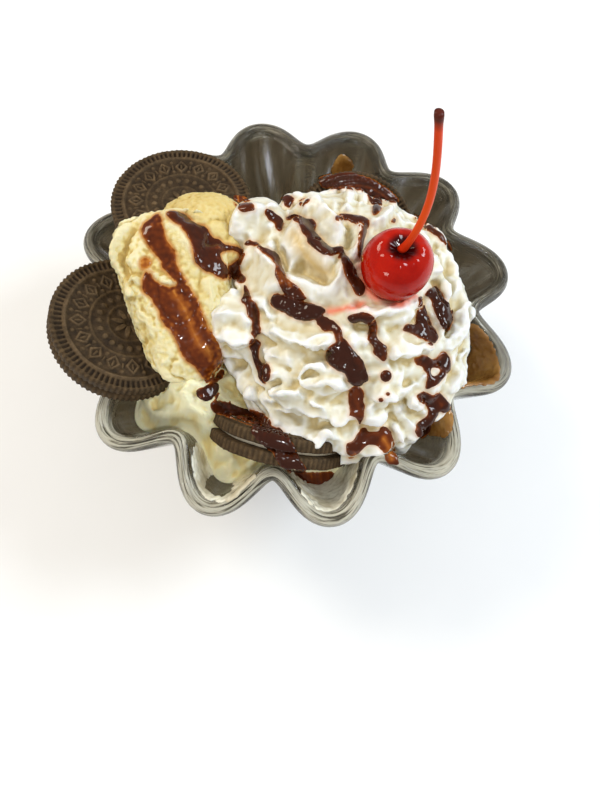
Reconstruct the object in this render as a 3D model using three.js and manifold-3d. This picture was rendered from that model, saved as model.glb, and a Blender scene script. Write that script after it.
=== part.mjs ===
// Ice cream sundae in a thick glass dish with a twelve-lobed rim: ice cream, piped whipped cream
// with chocolate drizzle, four sandwich cookies and a cherry. Millimetres, +Z up.
// The origin is the centre of the flat underside of the dish's foot, and -Y is the front.

import * as THREE from 'three';
import { mergeVertices } from 'three/addons/utils/BufferGeometryUtils.js';
import Module from 'manifold-3d';

const wasm = await Module();
wasm.setup();

// Clearance kept between pieces that touch or that are cut round each other.
const GAP = 0.3;

// Dish. Radii are those of the outside of the rim.
const LOBES = 12;
const FIRST_LOBE = THREE.MathUtils.degToRad(11.4);
const TIP_RADIUS = 75;
const VALLEY_RADIUS = 61.4;
const TIP_DROP = 3.8;
const LOBE_FULLNESS = 0.095;
const WALL = 4.5;
const RIM_HEIGHT = 70;
const BOWL_DEPTH = 48;
// How wide the bowl's floor and shoulder curve, as parts of the rim's radius, and the shoulder's drop.
const BOWL_FLOOR = 0.61;
const BOWL_SHOULDER = 0.865;
const SHOULDER_DROP = 0.46;
const FLUTE_GROWTH = 1.2;
const FOOT_RADIUS = 36;
const FOOT_THICKNESS = 4.5;
const FOOT_CORNER = 1.2;
const FOOT_SLOPE = 4;
const NECK_RADIUS = 18;
const NECK_HEIGHT = 15;
const DISH_SEGMENTS = 8 * LOBES;

// Ice cream in the bowl: its level at the dish's axis, below the rim, and how that tilts.
const LEVEL_DROP = 12.6;
const LEVEL_SLOPE_X = -0.125;
const LEVEL_SLOPE_Y = -0.107;
const LEVEL_WAVE = 0.9;
const LEVEL_WAVELENGTH = 34;
const LEVEL_CELLS = 14;
// It slumps toward the glass between these two distances from the axis.
const EDGE_DROP = 11;
const EDGE_RADII = [42, 64];
// A lump of it rises in front of the front scoop.
const LUMP_CENTRE = [-30, -35];
const LUMP_RADIUS = 12;
const LUMP_HEIGHT = 14;

// Sandwich cookie.
const COOKIE_RADIUS = 22.35;
const COOKIE_THICKNESS = 8.6;
const WAFER_THICKNESS = 3.6;
const WAFER_BEVEL = 0.7;
const FILLING_RADIUS = 19.4;
const COOKIE_SEGMENTS = 32;

// Where each cookie's upper face is centred, and which way that face looks.
const COOKIES = {
  cookie_left: { centre: [-48.6, -16.4, RIM_HEIGHT + 9.4], normal: [0.41, 0.07, 0.91] },
  cookie_rear_left: { centre: [-36.2, 26.2, RIM_HEIGHT + 12.1], normal: [0.07, 0.08, 0.994] },
  cookie_front: { centre: [-1.4, -40.3, RIM_HEIGHT - 8.4], normal: [0.17, 0.86, 0.48] },
  cookie_rear: { centre: [20.5, 25.8, RIM_HEIGHT - 5.1], normal: [0.08, -0.66, 0.74] },
};

// Cherry and its stem.
const CHERRY_RADIUS = 9.75;
const CHERRY_CENTRE = new THREE.Vector3(28.2, -7.5, RIM_HEIGHT + 32.3);
const CHERRY_DIMPLE_RADIUS = 3.6;
const CHERRY_DIMPLE_DEPTH = 3.2;
const CHERRY_STEPS = [20, 10];
const STEM_RADIUS = 1.05;
const STEM_HEIGHT = 44;
const STEM_BULGE = 3.4;
const STEM_LEAN = 1.8;
const STEM_SWAY = 0.6;
const STEM_STEPS = 12;
// The stem's foot stands this far below the top of the uncut ball.
const STEM_SINK = 2.2;

// Scoops: centre, half sizes, turn about Z and tilt about X.
const SCOOP_FRONT = {
  centre: [-33.8, -7.9, RIM_HEIGHT + 8],
  half: [15.6, 26.2, 14],
  turn: 12,
  tilt: 21,
  squareness: 0.56,
  taper: 0.34,
  bumps: 1.3,
};
const SCOOP_REAR = {
  centre: [-28.5, 12, RIM_HEIGHT + 6],
  half: [16.5, 17.5, 17.5],
  turn: 0,
  tilt: 0,
  squareness: 0.92,
  taper: 0,
  bumps: 0.9,
};
const SCOOP_STEPS = [18, 12];
// Length of a scoop's bumps as a part of its half sizes.
const BUMP_LENGTH = 0.525;

// Whipped cream: one star-nozzle rope wound inward and up, closed by a ribbed crown.
const CREAM_CENTRE = [15, -7];
const CREAM_STRETCH = [0.97, 1.06];
const ROPE_START = THREE.MathUtils.degToRad(-140);
const ROPE_TURNS = 1.9;
const ROPE_RING = [33, 21];
const ROPE_Z = [RIM_HEIGHT - 3, RIM_HEIGHT + 9];
const ROPE_RADIUS = [13, 11];
const ROPE_RIDGES = 7;
const ROPE_RIDGE_DEPTH = 0.12;
const ROPE_RUFFLE = 0.07;
const ROPE_RUFFLES = 9;
const ROPE_STEPS = 38;
// The rope starts at this part of its thickness and is full after this part of its run.
const ROPE_TIP = [0.55, 0.08];
const CROWN_RADIUS = 32;
const CROWN_Z = [RIM_HEIGHT + 6, RIM_HEIGHT + 27];
const CROWN_RIDGES = 9;
const CROWN_RIDGE_DEPTH = 0.1;
const CROWN_LIFT = 0.08;
const CROWN_TWIST = 0.7;
const CORE_BOTTOM = RIM_HEIGHT - 24;
const CORE_SEGMENTS = 24;
// Swells of cream beside the mound, each a ball's centre and half sizes.
const CREAM_LUMPS = [
  { centre: [-11, 15, RIM_HEIGHT + 13], half: [10, 10, 10] },
  { centre: [-16, -17.5, RIM_HEIGHT + 13], half: [8, 10, 8] },
];

// Thick strands of chocolate sauce on the cream, as plan routes.
const DRIZZLE_RADIUS = 1.7;
const DRIZZLE_STEP = 5;
const DRIZZLE_ROUTES = [
  [[-2, 19], [3, 10], [8, 1], [14, -1], [17, -9], [19, -13]],
  [[-9, 4], [-5, 0], [-3, -6], [2, -14]],
  [[-6, -13], [2, -18], [9, -19], [15, -18], [19, -19]],
  [[9, -21], [14, -24], [13, -30], [18, -33], [19, -41], [21, -46]],
  [[20, -20], [22, -22], [24, -27], [26, -31]],
  [[-12, -14], [-10, -21], [-10, -27], [-7, -34]],
  [[41, -4], [44, -8], [46, -12], [47, -15]],
  [[36, -13], [38, -16], [42, -22]],
  [[36, -27], [40, -29], [41, -33]],
];

const COLOURS = {
  glass: { color: 0x7d7f78, roughness: 0.05, metalness: 0 },
  ice_cream: { color: 0xeadfa0, roughness: 0.6, metalness: 0 },
  cream: { color: 0xf4f1e6, roughness: 0.5, metalness: 0 },
  wafer: { color: 0x3a2d24, roughness: 0.75, metalness: 0 },
  filling: { color: 0xe9e2d2, roughness: 0.6, metalness: 0 },
  cherry: { color: 0xa81410, roughness: 0.1, metalness: 0 },
  stem: { color: 0xc8451f, roughness: 0.4, metalness: 0 },
};

const lerp = THREE.MathUtils.lerp;

// A gentle unevenness between about -1 and 1, the same at every run.
function wobble(x, y, z, wavelength) {
  const k = (2 * Math.PI) / wavelength;
  return (
    0.4 * Math.sin(k * (0.8 * x + 0.6 * y) + 1.3) +
    0.35 * Math.sin(k * (0.7 * y - 0.7 * z) * 1.3 + 0.4) +
    0.25 * Math.sin(k * (0.6 * z + 0.8 * x - 0.3 * y) * 1.7 + 2.1)
  );
}

// A closed manifold solid from a geometry whose outline is closed.
function solid(geometry) {
  const bare = geometry.clone();
  bare.deleteAttribute('normal');
  bare.deleteAttribute('uv');
  const merged = mergeVertices(bare, 1e-4);
  const triangles = [];
  for (let i = 0; i < merged.index.count; i += 3) {
    const [a, b, c] = [0, 1, 2].map((k) => merged.index.getX(i + k));
    if (a !== b && b !== c && c !== a) {
      triangles.push(a, b, c);
    }
  }
  return new wasm.Manifold(
    new wasm.Mesh({
      numProp: 3,
      vertProperties: new Float32Array(merged.attributes.position.array),
      triVerts: new Uint32Array(triangles),
    }),
  );
}

function toGeometry(manifold) {
  const mesh = manifold.getMesh();
  const geometry = new THREE.BufferGeometry();
  geometry.setAttribute('position', new THREE.BufferAttribute(mesh.vertProperties, 3));
  geometry.setIndex(new THREE.BufferAttribute(mesh.triVerts, 1));
  return largestPiece(geometry);
}

// The largest connected piece of a geometry, without the scraps that a cut can leave.
function largestPiece(geometry) {
  const index = geometry.index.array;
  const parent = Array.from({ length: geometry.attributes.position.count }, (_, i) => i);
  const root = (i) => {
    let top = i;
    while (parent[top] !== top) {
      top = parent[top];
    }
    parent[i] = top;
    return top;
  };
  for (let i = 0; i < index.length; i += 3) {
    parent[root(index[i + 1])] = root(index[i]);
    parent[root(index[i + 2])] = root(index[i]);
  }
  const pieces = new Map();
  for (let i = 0; i < index.length; i += 3) {
    const key = root(index[i]);
    pieces.set(key, [...(pieces.get(key) ?? []), index[i], index[i + 1], index[i + 2]]);
  }
  const largest = [...pieces.values()].sort((a, b) => b.length - a.length)[0];
  geometry.setIndex(new THREE.BufferAttribute(new Uint32Array(largest), 1));
  return geometry;
}

// Moves every vertex of a geometry by a function of its place.
function reshape(geometry, move) {
  const place = geometry.attributes.position;
  for (let i = 0; i < place.count; i++) {
    const to = move(place.getX(i), place.getY(i), place.getZ(i));
    place.setXYZ(i, to.x, to.y, to.z);
  }
  return geometry;
}

// The rim's wave round the dish: 1 at a lobe's tip and -1 in the valley between two lobes.
function lobeWave(angle) {
  const phase = LOBES * (angle - FIRST_LOBE);
  return Math.cos(phase) + 2 * LOBE_FULLNESS * Math.sin(phase) ** 2;
}

// Mean profile of the middle of the glass, from the bowl's bottom to its rim.
const rimMean = (TIP_RADIUS + VALLEY_RADIUS - WALL) / 2;
const bowlProfile = new THREE.CubicBezierCurve(
  new THREE.Vector2(0, RIM_HEIGHT - BOWL_DEPTH),
  new THREE.Vector2(BOWL_FLOOR * rimMean, RIM_HEIGHT - BOWL_DEPTH),
  new THREE.Vector2(BOWL_SHOULDER * rimMean, RIM_HEIGHT - SHOULDER_DROP * BOWL_DEPTH),
  new THREE.Vector2(rimMean, RIM_HEIGHT),
);

// A point on the middle of the glass wall, s being 0 at the bottom and 1 at the rim.
function wallMiddle(s, angle) {
  const mean = bowlProfile.getPoint(s);
  const rise = (mean.y - RIM_HEIGHT + BOWL_DEPTH) / BOWL_DEPTH;
  const flute = Math.max(rise, 0) ** FLUTE_GROWTH;
  const wave = lobeWave(angle);
  const radius = mean.x + (flute * wave * (TIP_RADIUS - VALLEY_RADIUS)) / 2;
  const z = mean.y - (flute * TIP_DROP * (1 + wave)) / 2;
  return new THREE.Vector3(radius * Math.cos(angle), radius * Math.sin(angle), z);
}

// A point beside that middle: out is the distance outward, up the distance along the wall.
function wallPoint(s, angle, out, up) {
  const step = 1e-3;
  const middle = wallMiddle(s, angle);
  const along = middle.clone().sub(wallMiddle(s - step, angle)).normalize();
  const round = wallMiddle(s, angle + step).sub(wallMiddle(s, angle - step)).normalize();
  const outward = round.clone().cross(along).normalize();
  return middle.addScaledVector(outward, out).addScaledVector(along, up);
}

// Heights of the rings of the bowl's inside, from the bottom to the rim.
const INNER_RINGS = [0.14, 0.4, 0.66, 0.86, 1];
const OUTER_RINGS = [0.22, 0.46, 0.7, 0.88, 1];

// The glass, grown by a distance on every side.
function dishSolid(grow) {
  const half = WALL / 2 + grow;
  const foot = [
    [0, -grow],
    [FOOT_RADIUS - FOOT_CORNER + grow, -grow],
    [FOOT_RADIUS + grow, FOOT_CORNER],
    [FOOT_RADIUS + grow, FOOT_THICKNESS - FOOT_CORNER],
    [FOOT_RADIUS - FOOT_SLOPE + grow, FOOT_THICKNESS + grow],
    [NECK_RADIUS + FOOT_SLOPE + grow, FOOT_THICKNESS + FOOT_SLOPE],
    [NECK_RADIUS + grow, NECK_HEIGHT],
  ];
  const rings = foot.map(([radius, z]) => (angle) =>
    new THREE.Vector3(radius * Math.cos(angle), radius * Math.sin(angle), z),
  );
  OUTER_RINGS.forEach((s) => rings.push((angle) => wallPoint(s, angle, half, 0)));
  [45, 90, 135].map(THREE.MathUtils.degToRad).forEach((turn) => {
    rings.push((angle) => wallPoint(1, angle, half * Math.cos(turn), half * Math.sin(turn)));
  });
  [...INNER_RINGS].reverse().forEach((s) => rings.push((angle) => wallPoint(s, angle, -half, 0)));
  rings.push(() => new THREE.Vector3(0, 0, RIM_HEIGHT - BOWL_DEPTH + half));
  return solid(ringsGeometry(rings, DISH_SEGMENTS));
}

// A lathe whose rings are then placed one by one by their own functions of the angle.
function ringsGeometry(rings, segments) {
  const profile = rings.map((ring, j) => new THREE.Vector2(j === 0 || j === rings.length - 1 ? 0 : 1, j));
  const lathe = new THREE.LatheGeometry(profile, segments);
  const place = lathe.attributes.position;
  for (let i = 0; i <= segments; i++) {
    const angle = ((i % segments) * 2 * Math.PI) / segments;
    rings.forEach((ring, j) => {
      const to = ring(angle);
      place.setXYZ(i * rings.length + j, to.x, to.y, to.z);
    });
  }
  return lathe;
}

// The room inside the bowl up to its rim, out to the middle of the glass.
function cavitySolid() {
  const rings = [() => new THREE.Vector3(0, 0, RIM_HEIGHT - BOWL_DEPTH)];
  INNER_RINGS.forEach((s) => rings.push((angle) => wallMiddle(s, angle)));
  rings.push(() => new THREE.Vector3(0, 0, RIM_HEIGHT));
  return solid(ringsGeometry(rings, DISH_SEGMENTS));
}

// Everything below the uneven top of the ice cream in the bowl, raised by a distance.
function levelSolid(raise) {
  const size = 2 * (TIP_RADIUS + 5);
  const box = new THREE.BoxGeometry(size, size, RIM_HEIGHT, LEVEL_CELLS, LEVEL_CELLS, 1);
  return solid(
    reshape(box, (x, y, z) => {
      const level = RIM_HEIGHT - LEVEL_DROP + LEVEL_SLOPE_X * x + LEVEL_SLOPE_Y * y;
      const apart = Math.hypot(x - LUMP_CENTRE[0], y - LUMP_CENTRE[1]) / LUMP_RADIUS;
      const lump = LUMP_HEIGHT * Math.exp(-(apart ** 2));
      const slump = EDGE_DROP * THREE.MathUtils.smoothstep(Math.hypot(x, y), ...EDGE_RADII);
      const top = level + lump - slump + LEVEL_WAVE * wobble(x, y, 0, LEVEL_WAVELENGTH) + raise;
      return new THREE.Vector3(x, y, z > 0 ? top : 0);
    }),
  );
}

// A round disc with bevelled edges, its upper face in the XY plane.
function discGeometry(radius, thickness, bevel) {
  const profile = [
    new THREE.Vector2(0, -thickness),
    new THREE.Vector2(radius - bevel, -thickness),
    new THREE.Vector2(radius, bevel - thickness),
    new THREE.Vector2(radius, -bevel),
    new THREE.Vector2(radius - bevel, 0),
    new THREE.Vector2(0, 0),
  ];
  return new THREE.LatheGeometry(profile, COOKIE_SEGMENTS).rotateX(Math.PI / 2);
}

function cookiePlace({ centre, normal }) {
  const up = new THREE.Vector3(0, 0, 1);
  const turn = new THREE.Quaternion().setFromUnitVectors(up, new THREE.Vector3(...normal).normalize());
  return { position: new THREE.Vector3(...centre), turn };
}

// The whole cookie as one plain disc, grown all round, to cut its neighbours with.
function cookieCutter(cookie) {
  const { position, turn } = cookiePlace(cookie);
  const disc = discGeometry(COOKIE_RADIUS + GAP, COOKIE_THICKNESS + 2 * GAP, WAFER_BEVEL);
  disc.translate(0, 0, GAP).applyQuaternion(turn).translate(position.x, position.y, position.z);
  return solid(disc);
}

// A scoop: a sphere squared off a little, tapered, roughened, tilted, turned and put in place.
function scoopSolid(scoop, grow) {
  const ball = new THREE.SphereGeometry(1, ...SCOOP_STEPS);
  const power = (value) => Math.sign(value) * Math.abs(value) ** scoop.squareness;
  const tilt = new THREE.Matrix4().makeRotationX(THREE.MathUtils.degToRad(scoop.tilt));
  const turn = new THREE.Matrix4().makeRotationZ(THREE.MathUtils.degToRad(scoop.turn));
  return solid(
    reshape(ball, (x, y, z) => {
      const rough = 1 + (scoop.bumps * wobble(x, y, z, BUMP_LENGTH)) / scoop.half[0];
      const [a, b, c] = scoop.half.map((half) => half * rough + grow);
      const narrow = 1 + scoop.taper * y;
      return new THREE.Vector3(a * power(x) * narrow, b * power(y), c * power(z))
        .applyMatrix4(tilt)
        .applyMatrix4(turn)
        .add(new THREE.Vector3(...scoop.centre));
    }),
  );
}

// The cherry: a sphere with a dimple where the stem goes in, about its own centre.
function cherryGeometry(radius) {
  const [around, steps] = CHERRY_STEPS;
  const profile = [];
  for (let i = 0; i <= steps; i++) {
    const polar = (Math.PI * i) / steps;
    const r = radius * Math.sin(polar);
    const dimple = CHERRY_DIMPLE_DEPTH * Math.exp(-((r / CHERRY_DIMPLE_RADIUS) ** 2));
    profile.push(new THREE.Vector2(r, -radius * Math.cos(polar) - (polar > Math.PI / 2 ? dimple : 0)));
  }
  profile[0].x = 0;
  profile[steps].x = 0;
  return new THREE.LatheGeometry(profile, around).rotateX(Math.PI / 2);
}

// The stem bows to the right between the dimple and its tip.
function stemGeometry() {
  const foot = CHERRY_RADIUS - STEM_SINK;
  const points = [0, 0.25, 0.5, 0.75, 1].map((t) => {
    const bow = STEM_BULGE * Math.sin(Math.PI * t ** 0.8) - STEM_LEAN * t;
    return new THREE.Vector3(bow, STEM_SWAY * Math.sin(Math.PI * t), foot + STEM_HEIGHT * t);
  });
  const section = new THREE.Shape().absarc(0, 0, STEM_RADIUS, 0, 2 * Math.PI);
  return new THREE.ExtrudeGeometry(section, {
    extrudePath: new THREE.CatmullRomCurve3(points),
    steps: STEM_STEPS,
    curveSegments: 4,
    bevelEnabled: false,
  });
}

// Stretches a plan direction to the cream's own oval and moves it to the cream's centre.
function creamPlan(angle, radius, z) {
  return new THREE.Vector3(
    CREAM_CENTRE[0] + CREAM_STRETCH[0] * radius * Math.cos(angle),
    CREAM_CENTRE[1] + CREAM_STRETCH[1] * radius * Math.sin(angle),
    z,
  );
}

// A length of the piped rope between two fractions of its whole run, closed at both ends.
function ropeSolid(from, to) {
  const around = 2 * ROPE_RIDGES;
  const steps = Math.round((to - from) * ROPE_STEPS);
  const [tipPart, tipEnd] = ROPE_TIP;
  const tube = new THREE.CylinderGeometry(1, 1, 1, around, steps);
  return solid(
    reshape(tube, (x, y, z) => {
      const t = lerp(from, to, y + 0.5);
      const heading = ROPE_START + 2 * Math.PI * ROPE_TURNS * t;
      const tip = Math.min(1, lerp(tipPart, 1, t / tipEnd));
      const turn = Math.atan2(z, x);
      const ridge = 1 + ROPE_RIDGE_DEPTH * Math.cos(ROPE_RIDGES * turn);
      const ruffle = 1 + ROPE_RUFFLE * Math.sin(ROPE_RUFFLES * heading + 2 * turn);
      const section = lerp(...ROPE_RADIUS, t) * Math.hypot(x, z) * tip * ridge * ruffle;
      const ring = lerp(...ROPE_RING, t) + section * Math.cos(turn);
      return creamPlan(heading, ring, lerp(...ROPE_Z, t) + section * Math.sin(turn));
    }),
  );
}

// The crown: a low dome whose ridges run up and round to the middle.
function crownSolid() {
  const levels = [0, 0.2, 0.42, 0.62, 0.8, 0.93];
  const rings = [() => creamPlan(0, 0, CROWN_Z[0])];
  levels.forEach((h) => {
    rings.push((angle) => {
      const ridge = 1 + CROWN_RIDGE_DEPTH * Math.cos(CROWN_RIDGES * angle) * (1 - h * h);
      const radius = CROWN_RADIUS * (1 - h ** 3.2) ** 0.6 * ridge;
      const lift = 1 + CROWN_LIFT * Math.cos(CROWN_RIDGES * angle) * h * (1 - h);
      return creamPlan(angle + CROWN_TWIST * h, radius, lerp(...CROWN_Z, h * lift));
    });
  });
  rings.push(() => creamPlan(0, 0, CROWN_Z[1]));
  return solid(ringsGeometry(rings, 4 * CROWN_RIDGES));
}

// The plain inside of the mound, which closes the middle of the wound rope.
function coreSolid() {
  const rings = [
    () => creamPlan(0, 0, CORE_BOTTOM),
    (angle) => creamPlan(angle, ROPE_RING[0], CORE_BOTTOM),
    (angle) => creamPlan(angle, ROPE_RING[0], ROPE_Z[0]),
    (angle) => creamPlan(angle, ROPE_RING[1], ROPE_Z[1]),
    () => creamPlan(0, 0, ROPE_Z[1]),
  ];
  return solid(ringsGeometry(rings, CORE_SEGMENTS));
}

function lumpSolid({ centre, half }) {
  return solid(new THREE.SphereGeometry(1, 14, 9).scale(...half).translate(...centre));
}

// A strand of sauce that follows the surface under its plan route, half sunk into it.
function drizzleSolid(route, surface) {
  const plan = new THREE.CatmullRomCurve3(route.map(([x, y]) => new THREE.Vector3(x, y, 0)));
  const steps = Math.max(2, Math.round(plan.getLength() / DRIZZLE_STEP));
  const down = new THREE.Vector3(0, 0, -1);
  const points = plan.getSpacedPoints(steps).map((point) => {
    const above = point.clone().setZ(2 * RIM_HEIGHT);
    return new THREE.Raycaster(above, down).intersectObject(surface)[0].point;
  });
  const section = new THREE.Shape().absarc(0, 0, DRIZZLE_RADIUS, 0, 2 * Math.PI);
  return solid(
    new THREE.ExtrudeGeometry(section, {
      extrudePath: new THREE.CatmullRomCurve3(points),
      steps,
      curveSegments: 3,
      bevelEnabled: false,
    }),
  );
}

const dish = dishSolid(0);
const cookieCutters = Object.values(COOKIES).map(cookieCutter);
const cherryCutter = solid(cherryGeometry(CHERRY_RADIUS + GAP)).translate(CHERRY_CENTRE.toArray());

const cut = (body, tools) => tools.reduce((rest, tool) => rest.subtract(tool), body);
const grownDish = dishSolid(GAP);
const neighbours = [grownDish, levelSolid(GAP), ...cookieCutters];

const frontScoop = cut(scoopSolid(SCOOP_FRONT, 0), neighbours);
const rearScoop = cut(scoopSolid(SCOOP_REAR, 0), [...neighbours, scoopSolid(SCOOP_FRONT, GAP)]);
const bowlIceCream = cut(cavitySolid().intersect(levelSolid(0)), [grownDish, ...cookieCutters]);

const ropeCuts = [0, 0.25, 0.5, 0.75, 1];
const rope = ropeCuts.slice(1).map((end, i) => ropeSolid(ropeCuts[i], end));
const swells = [crownSolid(), ...rope, ...CREAM_LUMPS.map(lumpSolid)];
const mound = swells.reduce((sum, swell) => sum.add(swell), coreSolid());
const creamNeighbours = [
  ...neighbours,
  scoopSolid(SCOOP_FRONT, GAP),
  scoopSolid(SCOOP_REAR, GAP),
  cherryCutter,
];
const moundMesh = new THREE.Mesh(toGeometry(mound));
const drizzled = DRIZZLE_ROUTES.reduce((sum, route) => sum.add(drizzleSolid(route, moundMesh)), mound);
const cream = cut(drizzled, creamNeighbours);

const group = new THREE.Group();

function addMesh(parent, name, geometry, look) {
  const mesh = new THREE.Mesh(geometry, new THREE.MeshStandardMaterial(COLOURS[look]));
  mesh.name = name;
  parent.add(mesh);
  return mesh;
}

addMesh(group, 'glass_dish', toGeometry(dish), 'glass');
addMesh(group, 'ice_cream_base', toGeometry(bowlIceCream), 'ice_cream');
addMesh(group, 'ice_cream_scoop_front', toGeometry(frontScoop), 'ice_cream');
addMesh(group, 'ice_cream_scoop_rear', toGeometry(rearScoop), 'ice_cream');
addMesh(group, 'whipped_cream', toGeometry(cream), 'cream');

const waferDrop = COOKIE_THICKNESS - WAFER_THICKNESS;
const fillingThickness = COOKIE_THICKNESS - 2 * WAFER_THICKNESS - 2 * GAP;
Object.entries(COOKIES).forEach(([name, cookie]) => {
  const { position, turn } = cookiePlace(cookie);
  const stack = new THREE.Group();
  stack.position.copy(position);
  stack.quaternion.copy(turn);
  const wafer = () => toGeometry(solid(discGeometry(COOKIE_RADIUS, WAFER_THICKNESS, WAFER_BEVEL)));
  const filling = toGeometry(solid(discGeometry(FILLING_RADIUS, fillingThickness, 0)));
  addMesh(stack, `${name}_wafer_top`, wafer(), 'wafer');
  addMesh(stack, `${name}_filling`, filling, 'filling').position.z = -WAFER_THICKNESS - GAP;
  addMesh(stack, `${name}_wafer_bottom`, wafer(), 'wafer').position.z = -waferDrop;
  group.add(stack);
});

const cherry = toGeometry(solid(cherryGeometry(CHERRY_RADIUS)));
addMesh(group, 'cherry', cherry, 'cherry').position.copy(CHERRY_CENTRE);
addMesh(group, 'cherry_stem', toGeometry(solid(stemGeometry())), 'stem').position.copy(CHERRY_CENTRE);

export default group;
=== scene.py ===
import math

import bpy
import numpy as np
from mathutils import Matrix, Vector
from mathutils.bvhtree import BVHTree


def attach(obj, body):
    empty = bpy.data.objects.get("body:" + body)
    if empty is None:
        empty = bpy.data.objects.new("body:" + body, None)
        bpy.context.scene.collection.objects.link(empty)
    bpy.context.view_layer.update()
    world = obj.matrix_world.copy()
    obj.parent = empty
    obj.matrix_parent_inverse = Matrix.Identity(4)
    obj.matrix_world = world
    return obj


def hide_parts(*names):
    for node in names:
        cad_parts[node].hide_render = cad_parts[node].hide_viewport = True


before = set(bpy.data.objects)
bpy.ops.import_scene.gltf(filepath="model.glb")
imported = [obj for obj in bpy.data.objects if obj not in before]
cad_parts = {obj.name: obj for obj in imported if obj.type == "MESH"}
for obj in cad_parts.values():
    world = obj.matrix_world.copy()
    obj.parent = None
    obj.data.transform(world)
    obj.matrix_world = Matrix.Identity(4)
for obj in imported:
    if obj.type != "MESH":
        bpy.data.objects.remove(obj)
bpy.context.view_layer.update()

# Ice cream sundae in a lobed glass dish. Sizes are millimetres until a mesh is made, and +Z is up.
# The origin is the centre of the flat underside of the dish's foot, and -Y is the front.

MM = 0.001

# The photograph's camera: where it stands, which way it looks, and its focal length in pixels.
CAMERA_PLACE = np.array([0.0, -94.354, 237.229])
CAMERA_RIGHT = np.array([0.99928847, 0.0236296, 0.02939722])
CAMERA_UP = np.array([-0.03198644, 0.94394165, 0.32855902])
CAMERA_FORWARD = np.array([0.01998554, 0.32926555, -0.94402583])
FOCAL_PIXELS = 578
IMAGE_SIZE = (600, 800)
SENSOR = 36

# Dish, as in the CAD model.
LOBES = 12
FIRST_LOBE = math.radians(11.4)
TIP_RADIUS = 75
VALLEY_RADIUS = 61.4
TIP_DROP = 3.8
LOBE_FULLNESS = 0.095
WALL = 4.5
RIM_HEIGHT = 70
BOWL_DEPTH = 48
FLUTE_GROWTH = 1.2
FOOT_RADIUS = 36
FOOT_THICKNESS = 4.5
NECK_RADIUS = 18
NECK_HEIGHT = 15
FOOT_CORNER = 1.2
FOOT_RISE_INSET = 5
# The bowl's section is one curve. Its two middle control points lie at these shares of the mean
# radius, and the upper one lies this share of the bowl's depth below the rim.
BOWL_FLOOR = 0.61
BOWL_SHOULDER = 0.865
SHOULDER_DROP = 0.46
# How far the cutter that keeps the food off the glass stands out from it.
DISH_CLEARANCE = 0.15

LEVEL_DROP = 12.6
LEVEL_SLOPE = (-0.125, -0.107)
EDGE_DROP = 11
EDGE_RADII = (42, 64)
LUMP_CENTRE = (-30, -35)
LUMP_RADIUS = 12
LUMP_HEIGHT = 14
# How far the ice cream in the bowl reaches into the glass. Its crumbs are highest on the lump and
# fade out over this many times the lump's radius.
FILL_REACH = 0.2
CRUMB_HEIGHT = 2.3
CRUMB_SPREAD = 1.9

COOKIE_RADIUS = 22.35
COOKIE_THICKNESS = 8.6
WAFER_THICKNESS = 3.6
WAFER_BEVEL = 0.7
FILLING_RADIUS = 19.0
CUTTER_GROWTH = 0.05
CUTTER_CORNER = 0.5
COOKIE_SPIN = 0.7
# The middle of each cookie's upper face, and the way that face looks.
COOKIES = {
    "left": {"centre": (-48.6, -16.4, 79.4), "normal": (0.41, 0.07, 0.91)},
    "rear_left": {"centre": (-36.2, 26.2, 82.1), "normal": (0.07, 0.08, 0.994)},
    "front": {"centre": (-1.4, -40.3, 61.6), "normal": (0.17, 0.86, 0.48)},
    "rear": {"centre": (20.5, 25.8, 64.9), "normal": (0.08, -0.66, 0.74)},
}

CHERRY_RADIUS = 9.75
CHERRY_CENTRE = np.array([28.2, -7.5, 102.3])
DIMPLE_RADIUS = 3.6
DIMPLE_DEPTH = 3.2
STEM_HEIGHT = 44
STEM_BULGE = 3.4
STEM_SINK = 2.2
STEM_INSET = 0.3
STEM_RADIUS = 1.0

SCOOPS = {
    "front": {"centre": (-33.8, -7.9, 78), "half": (15.6, 26.2, 14), "turn": 12, "tilt": 21,
              "squareness": 0.56, "taper": 0.34, "bumps": 1.2, "seed": 3},
    "rear": {"centre": (-28.5, 12, 76), "half": (16.5, 17.5, 17.5), "turn": 0, "tilt": 0,
             "squareness": 0.92, "taper": 0, "bumps": 0.9, "seed": 8},
}
SCOOP_CREASE_DEPTH = 0.9
SCOOP_CREASE_WIDTH = 0.09

CREAM_CENTRE = (15, -7)
CREAM_STRETCH = (0.97, 1.06)
ROPE_START = math.radians(-140)
ROPE_TURNS = 1.9
ROPE_RING = (33, 21)
ROPE_Z = (67, 79)
ROPE_RADIUS = (13, 11)
ROPE_RIDGES = 7
ROPE_RIDGE = 0.10
CORE_FLOOR = 46.0
CROWN_RADIUS = 32
CROWN_Z = (76, 97)
CROWN_RIDGES = 9
CROWN_RIDGE = 0.07
CROWN_TWIST = 0.7
# Extra swells of cream, each a ball's centre and half sizes: one on the rear scoop, one beside the
# front scoop.
CREAM_LUMPS = [((-11, 15, 83), (10, 10, 10)), ((-16, -17.5, 83), (8, 10, 8))]


# Cell sizes of the skins, and the fine and coarse depths that count as fully hollow.
SCOOP_VOXEL = 0.42
CREAM_VOXELS = (0.55, 0.45)
SAUCE_VOXEL = 0.28
FILM_VOXEL = 0.3
ICE_CREAM_HOLLOWS = (0.9, 6.0)
CREAM_HOLLOWS = (1.6, 7.0)


# Small tools

def lerp(a, b, t):
    return a + (b - a) * t


def smoothstep(low, high, value):
    t = np.clip((value - low) / (high - low), 0, 1)
    return t * t * (3 - 2 * t)


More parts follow.
